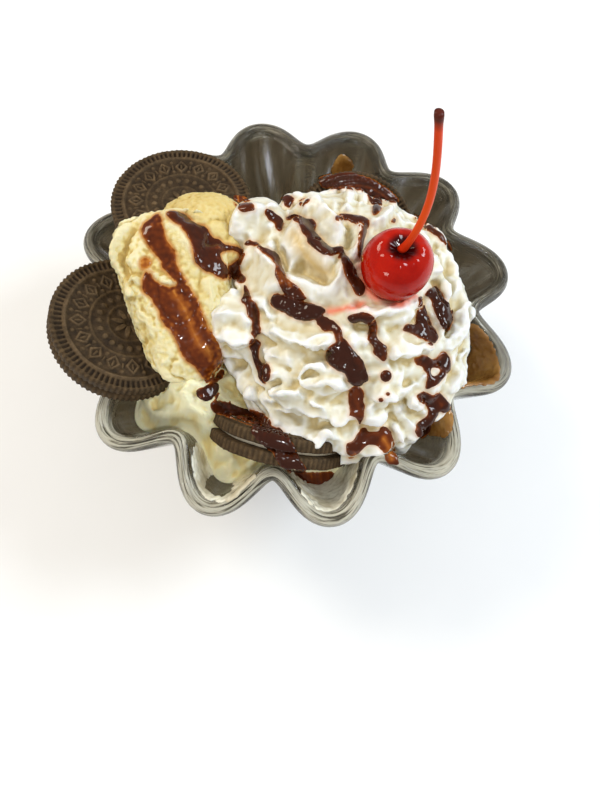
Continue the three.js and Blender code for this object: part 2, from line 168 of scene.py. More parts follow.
def gradient_noise(points, seed=0):
    """Smooth noise between about -1 and 1 at each of an array of points."""
    rng = np.random.default_rng(seed)
    shuffle = rng.permutation(256)
    slopes = rng.normal(size=(256, 3))
    slopes /= np.linalg.norm(slopes, axis=1, keepdims=True)
    cell = np.floor(points).astype(int)
    part = points - cell
    fade = part ** 3 * (part * (part * 6 - 15) + 10)
    total = np.zeros(len(points))
    for corner in np.ndindex(2, 2, 2):
        x, y, z = (cell + corner).T & 255
        slope = slopes[shuffle[(shuffle[(shuffle[x] + y) & 255] + z) & 255]]
        weight = np.prod(np.where(corner, fade, 1 - fade), axis=1)
        total += weight * np.sum((part - corner) * slope, axis=1)
    return 1.6 * total


def rough_noise(points, wavelength, octaves=3, seed=0):
    """The same in several octaves, each half as long and half as high as the one before."""
    total = np.zeros(len(points))
    for octave in range(octaves):
        total += gradient_noise(points * 2 ** octave / wavelength, seed + octave) / 2 ** octave
    return total


def ridges(place, wavelength, seed):
    """Noise with sharp crests: about 1 along them and down to 0 between them."""
    return np.clip(1 - 1.3 * np.abs(rough_noise(place, wavelength, 1, seed=seed)), 0, 1)


def to_pixel(points):
    """Where points fall in the photograph."""
    away = points - CAMERA_PLACE
    depth = away @ CAMERA_FORWARD
    u = IMAGE_SIZE[0] / 2 + FOCAL_PIXELS * (away @ CAMERA_RIGHT) / depth
    v = IMAGE_SIZE[1] / 2 - FOCAL_PIXELS * (away @ CAMERA_UP) / depth
    return np.stack([u, v], axis=1)


def pixel_ray(pixel):
    """The direction from the camera through a pixel."""
    u = (pixel[0] - IMAGE_SIZE[0] / 2) / FOCAL_PIXELS
    v = (IMAGE_SIZE[1] / 2 - pixel[1]) / FOCAL_PIXELS
    way = u * CAMERA_RIGHT + v * CAMERA_UP + CAMERA_FORWARD
    return way / np.linalg.norm(way)


def smooth_path(points, step):
    """A smooth curve through points, as points about a step apart."""
    points = np.asarray(points, float)
    padded = np.vstack([2 * points[0] - points[1], points, 2 * points[-1] - points[-2]])
    out = []
    for i in range(1, len(padded) - 2):
        p0, p1, p2, p3 = padded[i - 1:i + 3]
        count = max(2, int(np.linalg.norm(p2 - p1) / step))
        for t in np.arange(count) / count:
            out.append(0.5 * (2 * p1 + (p2 - p0) * t + (2 * p0 - 5 * p1 + 4 * p2 - p3) * t ** 2
                              + (3 * p1 - p0 - 3 * p2 + p3) * t ** 3))
    out.append(points[-1])
    return np.array(out)


def full_turn(count):
    """Angles evenly round a circle."""
    return np.arange(count) * 2 * np.pi / count


def smooth_mesh(name, vertices, faces):
    """A mesh from places in millimetres."""
    mesh = bpy.data.meshes.new(name)
    mesh.from_pydata((np.asarray(vertices) * MM).tolist(), [], [tuple(face) for face in faces])
    mesh.shade_smooth()
    return mesh


def mesh_object(name, vertices, faces):
    piece = bpy.data.objects.new(name, smooth_mesh(name, vertices, faces))
    bpy.context.scene.collection.objects.link(piece)
    return piece


def values_of(items, name, width, kind=float):
    """A named property of a mesh's vertices or edges, one row for each."""
    flat = np.empty(width * len(items), dtype=kind)
    items.foreach_get(name, flat)
    return flat.reshape(-1, width)


def vertices_of(piece):
    return values_of(piece.data.vertices, "co", 3) / MM


def normals_of(piece):
    return values_of(piece.data.vertices, "normal", 3)


def edges_of(piece):
    return values_of(piece.data.edges, "vertices", 2, int)


def move_vertices(piece, vertices):
    piece.data.vertices.foreach_set("co", (vertices * MM).ravel())
    piece.data.update()


def set_attribute(piece, name, values):
    layer = piece.data.attributes.new(name, "FLOAT", "POINT")
    layer.data.foreach_set("value", np.ascontiguousarray(values, dtype=float))


def set_vectors(piece, name, values):
    layer = piece.data.attributes.new(name, "FLOAT_VECTOR", "POINT")
    layer.data.foreach_set("vector", np.ascontiguousarray(values, dtype=float).ravel())


def apply_modifiers(piece):
    bpy.context.view_layer.update()
    evaluated = piece.evaluated_get(bpy.context.evaluated_depsgraph_get())
    mesh = bpy.data.meshes.new_from_object(evaluated)
    piece.modifiers.clear()
    piece.data = mesh
    mesh.shade_smooth()


def remesh(piece, voxel, smooth=0):
    """Joins everything in a piece into one skin of even cells."""
    modifier = piece.modifiers.new("skin", "REMESH")
    modifier.mode = "VOXEL"
    modifier.voxel_size = voxel * MM
    if smooth:
        soften = piece.modifiers.new("soften", "SMOOTH")
        soften.factor = 0.5
        soften.iterations = smooth
    apply_modifiers(piece)


def cut_with(piece, *cutters):
    for cutter in cutters:
        modifier = piece.modifiers.new("cut", "BOOLEAN")
        modifier.operation = "DIFFERENCE"
        modifier.solver = "MANIFOLD"
        modifier.object = cutter
    apply_modifiers(piece)
    keep_largest(piece)


def dress(piece, material):
    """Gives the whole piece one material."""
    piece.data.materials.clear()
    piece.data.materials.append(MATERIALS[material])
    piece.data.polygons.foreach_set("material_index", [0] * len(piece.data.polygons))


def keep_largest(piece):
    """Removes loose scraps that a cut has left."""
    edges = edges_of(piece)
    label = np.arange(len(piece.data.vertices))
    while True:
        lowest = np.minimum(label[edges[:, 0]], label[edges[:, 1]])
        before = label.copy()
        np.minimum.at(label, edges[:, 0], lowest)
        np.minimum.at(label, edges[:, 1], lowest)
        label = label[label]
        if np.array_equal(before, label):
            break
    names, sizes = np.unique(label, return_counts=True)
    if len(names) > 1:
        keep = label == names[np.argmax(sizes)]
        faces = [tuple(p.vertices) for p in piece.data.polygons if keep[p.vertices[0]]]
        number = np.cumsum(keep) - 1
        kept = [tuple(number[list(face)]) for face in faces]
        piece.data = smooth_mesh(piece.name, vertices_of(piece)[keep], kept)


def loft(rings, first, last):
    """A closed body of rings of points that ends in a single point at each end."""
    rings = np.asarray(rings)
    count, around = rings.shape[:2]
    vertices = np.vstack([[first], rings.reshape(-1, 3), [last]])
    index = 1 + np.arange(count * around).reshape(count, around)
    beside = np.roll(index, -1, axis=1)
    sides = np.stack([index[:-1], beside[:-1], beside[1:], index[1:]], axis=-1).reshape(-1, 4)
    faces = [tuple(face) for face in sides]
    faces += [(0, b, a) for a, b in zip(index[0], beside[0])]
    faces += [(len(vertices) - 1, a, b) for a, b in zip(index[-1], beside[-1])]
    return vertices, faces


def join_meshes(parts):
    """One list of vertices and one of faces from several."""
    vertices = []
    faces = []
    start = 0
    for part_vertices, part_faces in parts:
        vertices.append(part_vertices)
        faces += [tuple(start + i for i in face) for face in part_faces]
        start += len(part_vertices)
    return np.vstack(vertices), faces


def turned(angles, radius, z):
    """A ring of points round the Z axis."""
    radius = np.broadcast_to(radius, angles.shape)
    z = np.broadcast_to(z, angles.shape)
    return np.stack([radius * np.cos(angles), radius * np.sin(angles), z], axis=-1)


def frame_along(normal):
    """A turn that takes +Z to a direction."""
    return np.array(Vector((0, 0, 1)).rotation_difference(Vector(normal).normalized()).to_matrix())


# Dish

def lobe_wave(angle):
    phase = LOBES * (angle - FIRST_LOBE)
    return np.cos(phase) + 2 * LOBE_FULLNESS * np.sin(phase) ** 2


def bowl_profile(s):
    """Radius and height of the wall's middle before its lobes, as one Bezier curve."""
    mean = (TIP_RADIUS + VALLEY_RADIUS - WALL) / 2
    bottom = RIM_HEIGHT - BOWL_DEPTH
    radii = np.array([0, BOWL_FLOOR * mean, BOWL_SHOULDER * mean, mean])
    heights = np.array([bottom, bottom, RIM_HEIGHT - SHOULDER_DROP * BOWL_DEPTH, RIM_HEIGHT])
    weights = np.array([(1 - s) ** 3, 3 * s * (1 - s) ** 2, 3 * s ** 2 * (1 - s), s ** 3])
    return radii @ weights, heights @ weights


def wall_middle(s, angle):
    """The middle of the glass at s, from 0 at the bottom to 1 at the rim."""
    radius, height = bowl_profile(s)
    rise = max((height - RIM_HEIGHT + BOWL_DEPTH) / BOWL_DEPTH, 0) ** FLUTE_GROWTH
    wave = lobe_wave(angle)
    radius = radius + rise * wave * (TIP_RADIUS - VALLEY_RADIUS) / 2
    return turned(angle, radius, height - rise * TIP_DROP * (1 + wave) / 2)


def wall_point(s, angle, out, up=0):
    """A place beside that middle: out is outward, up is along the wall."""
    step = 1e-3
    middle = wall_middle(s, angle)
    along = middle - wall_middle(s - step, angle)
    along /= np.linalg.norm(along, axis=1, keepdims=True)
    around = wall_middle(s, angle + step) - wall_middle(s, angle - step)
    outward = np.cross(around, along)
    outward /= np.linalg.norm(outward, axis=1, keepdims=True)
    return middle + out * outward + up * along


def dish_mesh(grow=0.0, segments=32 * LOBES):
    """The whole dish as one skin, from under its foot over the rim to the floor of the bowl."""
    angle = full_turn(segments)
    half = WALL / 2 + grow
    edge = FOOT_RADIUS - FOOT_CORNER
    middle = FOOT_THICKNESS / 2
    foot = [(FOOT_RADIUS * 0.5, -grow), (edge, -grow)]
    for turn in map(math.radians, np.linspace(-80, 80, 5)):
        foot.append((edge + (FOOT_CORNER + grow) * math.cos(turn), middle + (middle + grow) * math.sin(turn)))
    for t in np.linspace(0, 1, 8):
        foot.append((lerp(FOOT_RADIUS - FOOT_RISE_INSET, NECK_RADIUS, t ** 0.6) + grow,
                     lerp(FOOT_THICKNESS, NECK_HEIGHT, t ** 1.8) + grow))
    rings = [turned(angle, radius, z) for radius, z in foot]
    rings += [wall_point(s, angle, half) for s in np.linspace(0.2, 1, 40)]
    for turn in np.radians(np.linspace(15, 165, 11)):
        rings.append(wall_point(1, angle, half * math.cos(turn), half * math.sin(turn)))
    rings += [wall_point(s, angle, -half) for s in np.linspace(1, 0.04, 46)]
    first = (0, 0, -grow)
    last = (0, 0, RIM_HEIGHT - BOWL_DEPTH + half)
    return loft(rings, first, last)


def make_dish():
    vertices, faces = dish_mesh()
    dish = mesh_object("fluted_glass_dish", vertices, faces)
    radius = np.hypot(vertices[:, 0], vertices[:, 1])
    angle = np.arctan2(vertices[:, 1], vertices[:, 0])
    height = vertices[:, 2]
    rim = wall_middle(1, angle)
    outward = radius - np.hypot(rim[:, 0], rim[:, 1])
    above = height - rim[:, 2]
    # How near each place is to the rim, along the wall.
    apart = np.hypot(outward, above)
    set_attribute(dish, "rim", 1 - smoothstep(WALL / 2 + 0.5, WALL / 2 + 1.3, apart))
    # Places for the painted reflection streaks that run along the lip, and for those that run down the wall.
    across = np.arctan2(above, outward)
    lip_streaks = np.stack([np.cos(angle) * 5.5, np.sin(angle) * 5.5, across * 2.6], axis=1)
    fold = np.stack([np.cos(angle) * 16, np.sin(angle) * 16, height * 0.05], axis=1)
    set_vectors(dish, "lip_streaks", lip_streaks)
    set_vectors(dish, "fold", fold)
    # Painted dark reflection lines along the inner side, the top and the outer side of the lip, by degrees
    # across it.
    broken = 0.75 + 0.5 * rough_noise(lip_streaks * 1.4, 1, 2, seed=21)
    inner, top, outer = (np.exp(-((np.degrees(across) - place) / width) ** 2)
                         for place, width in ((160, 13), (98, 6), (12, 12)))
    set_attribute(dish, "lip_reflection_lines", np.clip((inner + 0.5 * top + 0.8 * outer) * broken, 0, 1))
    # Painted shade: the lip is darker round the back and on the right.
    back = vertices[:, 1] + 0.25 * vertices[:, 0] + 9 * rough_noise(vertices, 24, 2, seed=22)
    set_attribute(dish, "lip_painted_shade", smoothstep(-22, 14, back))
    set_attribute(dish, "foot", smoothstep(NECK_HEIGHT + 8, NECK_HEIGHT - 4, height))
    return dish


# Ice cream in the bowl

def level_at(x, y):
    """The height of the ice cream's top before its bumps."""
    lump = LUMP_HEIGHT * np.exp(-((x - LUMP_CENTRE[0]) ** 2 + (y - LUMP_CENTRE[1]) ** 2) / LUMP_RADIUS ** 2)
    slump = EDGE_DROP * smoothstep(*EDGE_RADII, np.hypot(x, y))
    return RIM_HEIGHT - LEVEL_DROP + LEVEL_SLOPE[0] * x + LEVEL_SLOPE[1] * y + lump - slump


def fill_ring(edge, part):
    """A ring of the ice cream's bumpy top, at a share of the way from the middle to its edge."""
    flat = edge * (part, part, 0)
    inner = smoothstep(1, 0.9, part)
    torn = 1 - np.abs(rough_noise(flat + 90, 10, 3, seed=6))
    bumps = 1.3 * rough_noise(flat, 17, 4, seed=5) + 1.8 * (torn ** 3 - 0.4)
    crumbs = ridges(flat + 7, 5.5, 8) ** 2 + 0.7 * ridges(flat, 2.6, 9) - 0.7
    beside = np.hypot(flat[:, 0] - LUMP_CENTRE[0], flat[:, 1] - LUMP_CENTRE[1]) / LUMP_RADIUS
    grain = CRUMB_HEIGHT * np.exp(-(beside / CRUMB_SPREAD) ** 2) * crumbs
    grain += 0.3 * rough_noise(flat, 2.4, 2, seed=7)
    height = lerp(edge[:, 2], level_at(flat[:, 0], flat[:, 1]), inner) + (bumps + grain) * inner
    return np.column_stack([flat[:, :2], height])


def make_fill():
    """The ice cream that fills the bowl, which reaches a little way into the glass."""
    segments = 40 * LOBES
    angle = full_turn(segments)
    column = np.arange(segments)
    steps = np.linspace(0.04, 1, 160)
    walls = np.array([wall_point(s, angle, FILL_REACH - WALL / 2) for s in steps])
    below = walls[..., 2] < level_at(walls[..., 0], walls[..., 1]) + 0.8 * lobe_wave(angle * 0.5)
    top = np.argmin(below, axis=0) - 1
    sides = []
    for part in np.linspace(0, 1, 30):
        at = top * part
        low = np.floor(at).astype(int)
        high = np.minimum(low + 1, len(steps) - 1)
        mix = (at - low)[:, None]
        sides.append(walls[low, column] * (1 - mix) + walls[high, column] * mix)
    lid = [fill_ring(sides[-1], part) for part in np.linspace(0.99, 0.01, 110)]
    first = (0, 0, RIM_HEIGHT - BOWL_DEPTH + WALL / 2 - FILL_REACH)
    vertices, faces = loft(sides + lid, first, lid[-1].mean(axis=0))
    piece = mesh_object("ice_cream_fill", vertices, faces)
    mark_hollows(piece, *ICE_CREAM_HOLLOWS)
    return piece


# Cookies

# The embossed design: how strong it is, the notches of the edge and their depth in millimetres, and
# then places and half sizes in shares of the wafer's radius.
EMBOSS = 0.62
NOTCHES = 84
NOTCH_DEPTH = 0.42
NOTCH_BAND = (0.835, 0.95)
FIELD_EDGE = 0.80
RINGS = ((0.80, 0.014), (0.50, 0.016), (0.27, 0.012))
LOZENGES = 16
LOZENGE_RING = 0.645
LOZENGE_HALF = (0.125, 0.105)
LOZENGE_HOLLOW = (0.080, 0.062)
DOT_RINGS = (0.555, 0.735)
BEADS = 20
BEAD_RING = 0.385
PETALS = 8
ROSETTE = 0.21
# Beyond this turn, in radians, a bevel is flat with its face and has no notches.
FLAT_TURN = 1.5


def notch_wave(angle):
    """0 on each rib of a wafer's edge and 1 in each notch."""
    return 0.5 - 0.5 * np.cos(NOTCHES * angle)


def emboss_height(r, angle):
    """Relief of a wafer's face, in millimetres, at a fraction of its radius and an angle."""
    notch = smoothstep(0.2, 0.7, notch_wave(angle))
    inner, outer = NOTCH_BAND
    band = smoothstep(inner, inner + 0.02, r) * smoothstep(outer, outer - 0.02, r)
    height = -band * (0.25 + 1.1 * notch) - 0.7 * smoothstep(FIELD_EDGE + 0.01, FIELD_EDGE - 0.01, r)
    for ring, width in RINGS:
        height = height + 0.7 * np.exp(-((r - ring) / width) ** 2)

    # Lozenges, each hollow with a bar in it, and dots and ticks between them.
    pitch = 2 * np.pi / LOZENGES
    across = np.abs(((angle / pitch) % 1 - 0.5) * pitch * r)
    aside = ((angle / pitch + 0.5) % 1 - 0.5) * pitch * r
    out = np.abs(r - LOZENGE_RING)
    lozenge = 1 - (out / LOZENGE_HALF[0] + across / LOZENGE_HALF[1])
    hollow = 1 - (out / LOZENGE_HOLLOW[0] + across / LOZENGE_HOLLOW[1])
    bar = smoothstep(0.018, 0.010, across) * smoothstep(0.05, 0.035, out)
    height = height + smoothstep(0, 0.12, lozenge) - smoothstep(0, 0.16, hollow) + 0.8 * bar
    for ring in DOT_RINGS:
        height = height + 0.9 * smoothstep(0.034, 0.018, np.hypot(r - ring, aside))
    height = height + 0.8 * smoothstep(0.016, 0.008, np.abs(aside)) * smoothstep(0.045, 0.03, out)

    # A ring of beads, then a rosette in the middle.
    pitch = 2 * np.pi / BEADS
    bead = np.hypot(r - BEAD_RING, ((angle / pitch) % 1 - 0.5) * pitch * r)
    height = height + 0.9 * smoothstep(0.046, 0.028, bead)
    petal = np.abs(np.cos(PETALS / 2 * angle)) ** 0.7
    height = height + 0.8 * smoothstep(0.02, -0.02, r - ROSETTE * petal) * smoothstep(0.04, 0.07, r)
    return EMBOSS * height


def wafer_mesh(rings, seed):
    """A wafer with its embossed face in the XY plane and its plain face below."""
    angle = full_turn(6 * NOTCHES)
    notches = NOTCH_DEPTH * notch_wave(angle)
    plain = COOKIE_RADIUS - WAFER_BEVEL
    rows = [turned(angle, plain * 0.5, -WAFER_THICKNESS)]
    for corner, degrees in ((WAFER_BEVEL - WAFER_THICKNESS, (-90, -45, 0)), (-WAFER_BEVEL, (0, 30, 60, 90))):
        for turn in np.radians(degrees):
            radius = plain + WAFER_BEVEL * math.cos(turn) - notches * (abs(turn) < FLAT_TURN)
            rows.append(turned(angle, radius, corner + WAFER_BEVEL * math.sin(turn)))
    for part in np.linspace(plain / COOKIE_RADIUS - 0.008, 0.012, rings):
        rows.append(turned(angle, part * COOKIE_RADIUS, emboss_height(part, angle)))
    vertices, faces = loft(rows, (0, 0, -WAFER_THICKNESS), (0, 0, -0.3 * EMBOSS))
    uneven = rough_noise(vertices + seed * 50, 6, 3, seed=seed) * 0.17
    uneven += rough_noise(vertices + seed * 50, 1.3, 2, seed=seed + 9) * 0.09
    vertices[:, 2] += uneven
    return vertices, faces


def mark_relief(wafer, vertices):
    """Marks how high each place of the embossed face and of the notched side is, from 0 to 1, for painted
    shade and light.
    """
    ring = np.hypot(vertices[:, 0], vertices[:, 1]) / COOKIE_RADIUS
    notch = notch_wave(np.arctan2(vertices[:, 1], vertices[:, 0]))
    face = (vertices[:, 2] > -0.45 * WAFER_THICKNESS) & (ring < 0.95)
    relief = np.where(face, np.clip(0.55 + 0.8 * vertices[:, 2], 0, 1), 0.56 - 0.28 * notch)
    set_attribute(wafer, "relief", relief)


def filling_mesh(seed):
    """The layer between two wafers, with its top in the XY plane and an uneven bulging edge."""
    angle = full_turn(180)
    thickness = COOKIE_THICKNESS - 2 * WAFER_THICKNESS
    rows = [turned(angle, FILLING_RADIUS * 0.5, -thickness)]
    uneven = 0.4 * rough_noise(turned(angle, 3.0, 0.0) + seed, 1, 2, seed)
    for turn in np.radians(np.linspace(-90, 90, 9)):
        edge = FILLING_RADIUS + 0.7 * math.cos(turn) + uneven
        rows.append(turned(angle, edge, (math.sin(turn) - 1) * thickness / 2))
    rows.append(turned(angle, FILLING_RADIUS * 0.5, 0.0))
    return loft(rows, (0, 0, -thickness), (0, 0, 0))


def placed(vertices, cookie, spin=0.0):
    """A cookie's vertices where it lies, after a spin about its own axis."""
    spun = vertices @ np.array(Matrix.Rotation(spin, 3, "Z")).T
    return spun @ frame_along(cookie["normal"]).T + np.array(cookie["centre"])


def make_cookies():
    pieces = []
    for seed, (name, cookie) in enumerate(COOKIES.items()):
        spin = COOKIE_SPIN * seed
        vertices, faces = wafer_mesh(62, 3 * seed + 1)
        top = mesh_object(f"{name}_cookie_top_wafer", placed(vertices, cookie, spin), faces)
        mark_relief(top, vertices)
        vertices, faces = wafer_mesh(40, 3 * seed + 2)
        flipped = vertices * (1, -1, -1) - (0, 0, COOKIE_THICKNESS)
        bottom = mesh_object(f"{name}_cookie_bottom_wafer", placed(flipped, cookie, spin), faces)
        mark_relief(bottom, vertices)
        vertices, faces = filling_mesh(3 * seed + 3)
        sunk = vertices - (0, 0, WAFER_THICKNESS)
        middle = mesh_object(f"{name}_cookie_cream_layer", placed(sunk, cookie, spin), faces)
        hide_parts(f"cookie_{name}_wafer_top")
        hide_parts(f"cookie_{name}_wafer_bottom")
        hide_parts(f"cookie_{name}_filling")
        for wafer in (top, bottom):
            dress(wafer, "wafer")
        dress(middle, "filling")
        pieces += [top, bottom, middle]
    return pieces


def cookie_cutter(cookie):
    """The whole cookie as one plain disc, a little larger than it is."""
    angle = full_turn(96)
    radius = COOKIE_RADIUS + CUTTER_GROWTH
    bottom = -COOKIE_THICKNESS - CUTTER_GROWTH
    rows = [turned(angle, radius - CUTTER_CORNER, bottom),
            turned(angle, radius, CUTTER_CORNER - COOKIE_THICKNESS),
            turned(angle, radius, -CUTTER_CORNER),
            turned(angle, radius - CUTTER_CORNER, CUTTER_GROWTH)]
    vertices, faces = loft(rows, (0, 0, bottom), (0, 0, CUTTER_GROWTH))
    return mesh_object("cutter", placed(vertices, cookie), faces)


# Scoops

def ball_mesh(rows, around):
    """A unit ball."""
    angle = full_turn(around)
    polar = np.pi * np.arange(1, rows) / rows
    rings = [turned(angle, math.sin(p), -math.cos(p)) for p in polar]
    return loft(rings, (0, 0, -1), (0, 0, 1))


def scoop_mesh(scoop):
    """A squared-off, tapered ball with the folds of scooped ice cream."""
    unit, faces = ball_mesh(180, 300)
    x, y, z = (np.sign(unit) * np.abs(unit) ** scoop["squareness"]).T
    narrow = 1 + scoop["taper"] * unit[:, 1]
    a, b, c = scoop["half"]
    seed = scoop["seed"]
    shape = np.stack([a * x * narrow, b * y, c * z], axis=1)
    way = shape / np.linalg.norm(shape, axis=1, keepdims=True)
    swell = rough_noise(shape + seed * 31, 17, 2, seed=seed) * scoop["bumps"]
    folds = np.abs(rough_noise(shape * (1, 0.6, 1) + seed * 17, 13, 2, seed=seed + 4))
    swell -= SCOOP_CREASE_DEPTH * np.exp(-folds / SCOOP_CREASE_WIDTH)
    shape += way * swell[:, None]
    tilt = np.array(Matrix.Rotation(math.radians(scoop["tilt"]), 3, "X"))
    turn = np.array(Matrix.Rotation(math.radians(scoop["turn"]), 3, "Z"))
    return shape @ tilt.T @ turn.T + np.array(scoop["centre"]), faces


def crumble(piece, seed):
    """Small pits and crumbs over a skin, along its normals, and a torn lower edge."""
    place = vertices_of(piece)
    normal = normals_of(piece)
    patch = smoothstep(-0.4, 0.5, rough_noise(place, 9, 1, seed=seed + 7))
    side = smoothstep(0.55, 0.1, normal[:, 2])
    grain = 0.25 * rough_noise(place, 2.6, 3, seed=seed) * (0.3 + 0.7 * patch)
    pits = -0.45 * smoothstep(0.45, 0.9, rough_noise(place, 2.2, 1, seed=seed + 3))
    torn = 0.4 * side * rough_noise(place, 3.0, 2, seed=seed + 5)
    crumbs = 0.42 * rough_noise(place, 1.25, 1, seed=seed + 11) * (0.4 + 0.6 * patch)
    move_vertices(piece, place + normal * (grain + pits + torn + crumbs)[:, None])


def make_scoops(cutters):
    scoops = []
    for name, scoop in SCOOPS.items():
        piece = mesh_object(f"{name}_scoop_of_ice_cream", *scoop_mesh(scoop))
        remesh(piece, SCOOP_VOXEL)
        if name == "front":
            press_strokes(piece, SCOOP_FOLDS, SCOOP_CREASES)
        crumble(piece, scoop["seed"])
        cut_with(piece, *cutters)
        mark_hollows(piece, *ICE_CREAM_HOLLOWS)
        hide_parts(f"ice_cream_scoop_{name}")
        # The rear scoop gets a darker, yellower copy of the ice cream, as painted shade.
        dress(piece, "ice_cream" if name == "front" else "shaded_ice_cream")
        scoops.append(piece)
    return scoops


# Whipped cream

def cream_plan(angle, radius, z):
    """Places round the middle of the mound, which is a little oval."""
    angle, radius, z = np.broadcast_arrays(angle, radius, z)
    return np.stack([
        CREAM_CENTRE[0] + CREAM_STRETCH[0] * radius * np.cos(angle),
        CREAM_CENTRE[1] + CREAM_STRETCH[1] * radius * np.sin(angle),
        z,
    ], axis=-1)


def rope_mesh():
    """The thick rope of cream wound round the mound."""
    turn = full_turn(84)
    rings = []
    for t in np.linspace(0, 1, 420):
        heading = ROPE_START + 2 * np.pi * ROPE_TURNS * t
        tip = min(1, 0.5 + 0.5 * t / 0.08)
        ridge = 1 + ROPE_RIDGE * np.cos(ROPE_RIDGES * turn + 3 * heading)
        ruffle = 1 + 0.07 * np.sin(9 * heading + 2 * turn) + 0.04 * np.sin(23 * heading - turn)
        section = lerp(*ROPE_RADIUS, t) * tip * ridge * ruffle
        ring = lerp(*ROPE_RING, t) + section * np.cos(turn)
        rings.append(cream_plan(heading, ring, lerp(*ROPE_Z, t) + section * np.sin(turn)))
    rings = np.array(rings)
    return loft(rings, rings[0].mean(axis=0), rings[-1].mean(axis=0))


def crown_mesh():
    """The ridged dome on top of the rope."""
    angle = full_turn(360)
    rings = []
    for h in np.linspace(0, 0.985, 60):
        ridge = 1 + CROWN_RIDGE * np.cos(CROWN_RIDGES * angle) * (1 - h * h)
        radius = CROWN_RADIUS * (1 - h ** 3.2) ** 0.6 * ridge
        lift = 1 + 0.06 * np.cos(CROWN_RIDGES * angle) * h * (1 - h)
        rings.append(cream_plan(angle + CROWN_TWIST * h, radius, lerp(*CROWN_Z, h * lift)))
    return loft(rings, cream_plan(0.0, 0.0, CROWN_Z[0]), cream_plan(0.0, 0.0, CROWN_Z[1]))


def core_mesh():
    """What the rope is wound round."""
    angle = full_turn(96)
    rings = [cream_plan(angle, ROPE_RING[0], CORE_FLOOR), cream_plan(angle, ROPE_RING[0], ROPE_Z[0]),
             cream_plan(angle, ROPE_RING[1], ROPE_Z[1])]
    return loft(rings, cream_plan(0.0, 0.0, CORE_FLOOR), cream_plan(0.0, 0.0, ROPE_Z[1]))


def lump_mesh(centre, half):
    vertices, faces = ball_mesh(24, 36)
    return vertices * half + np.array(centre), faces


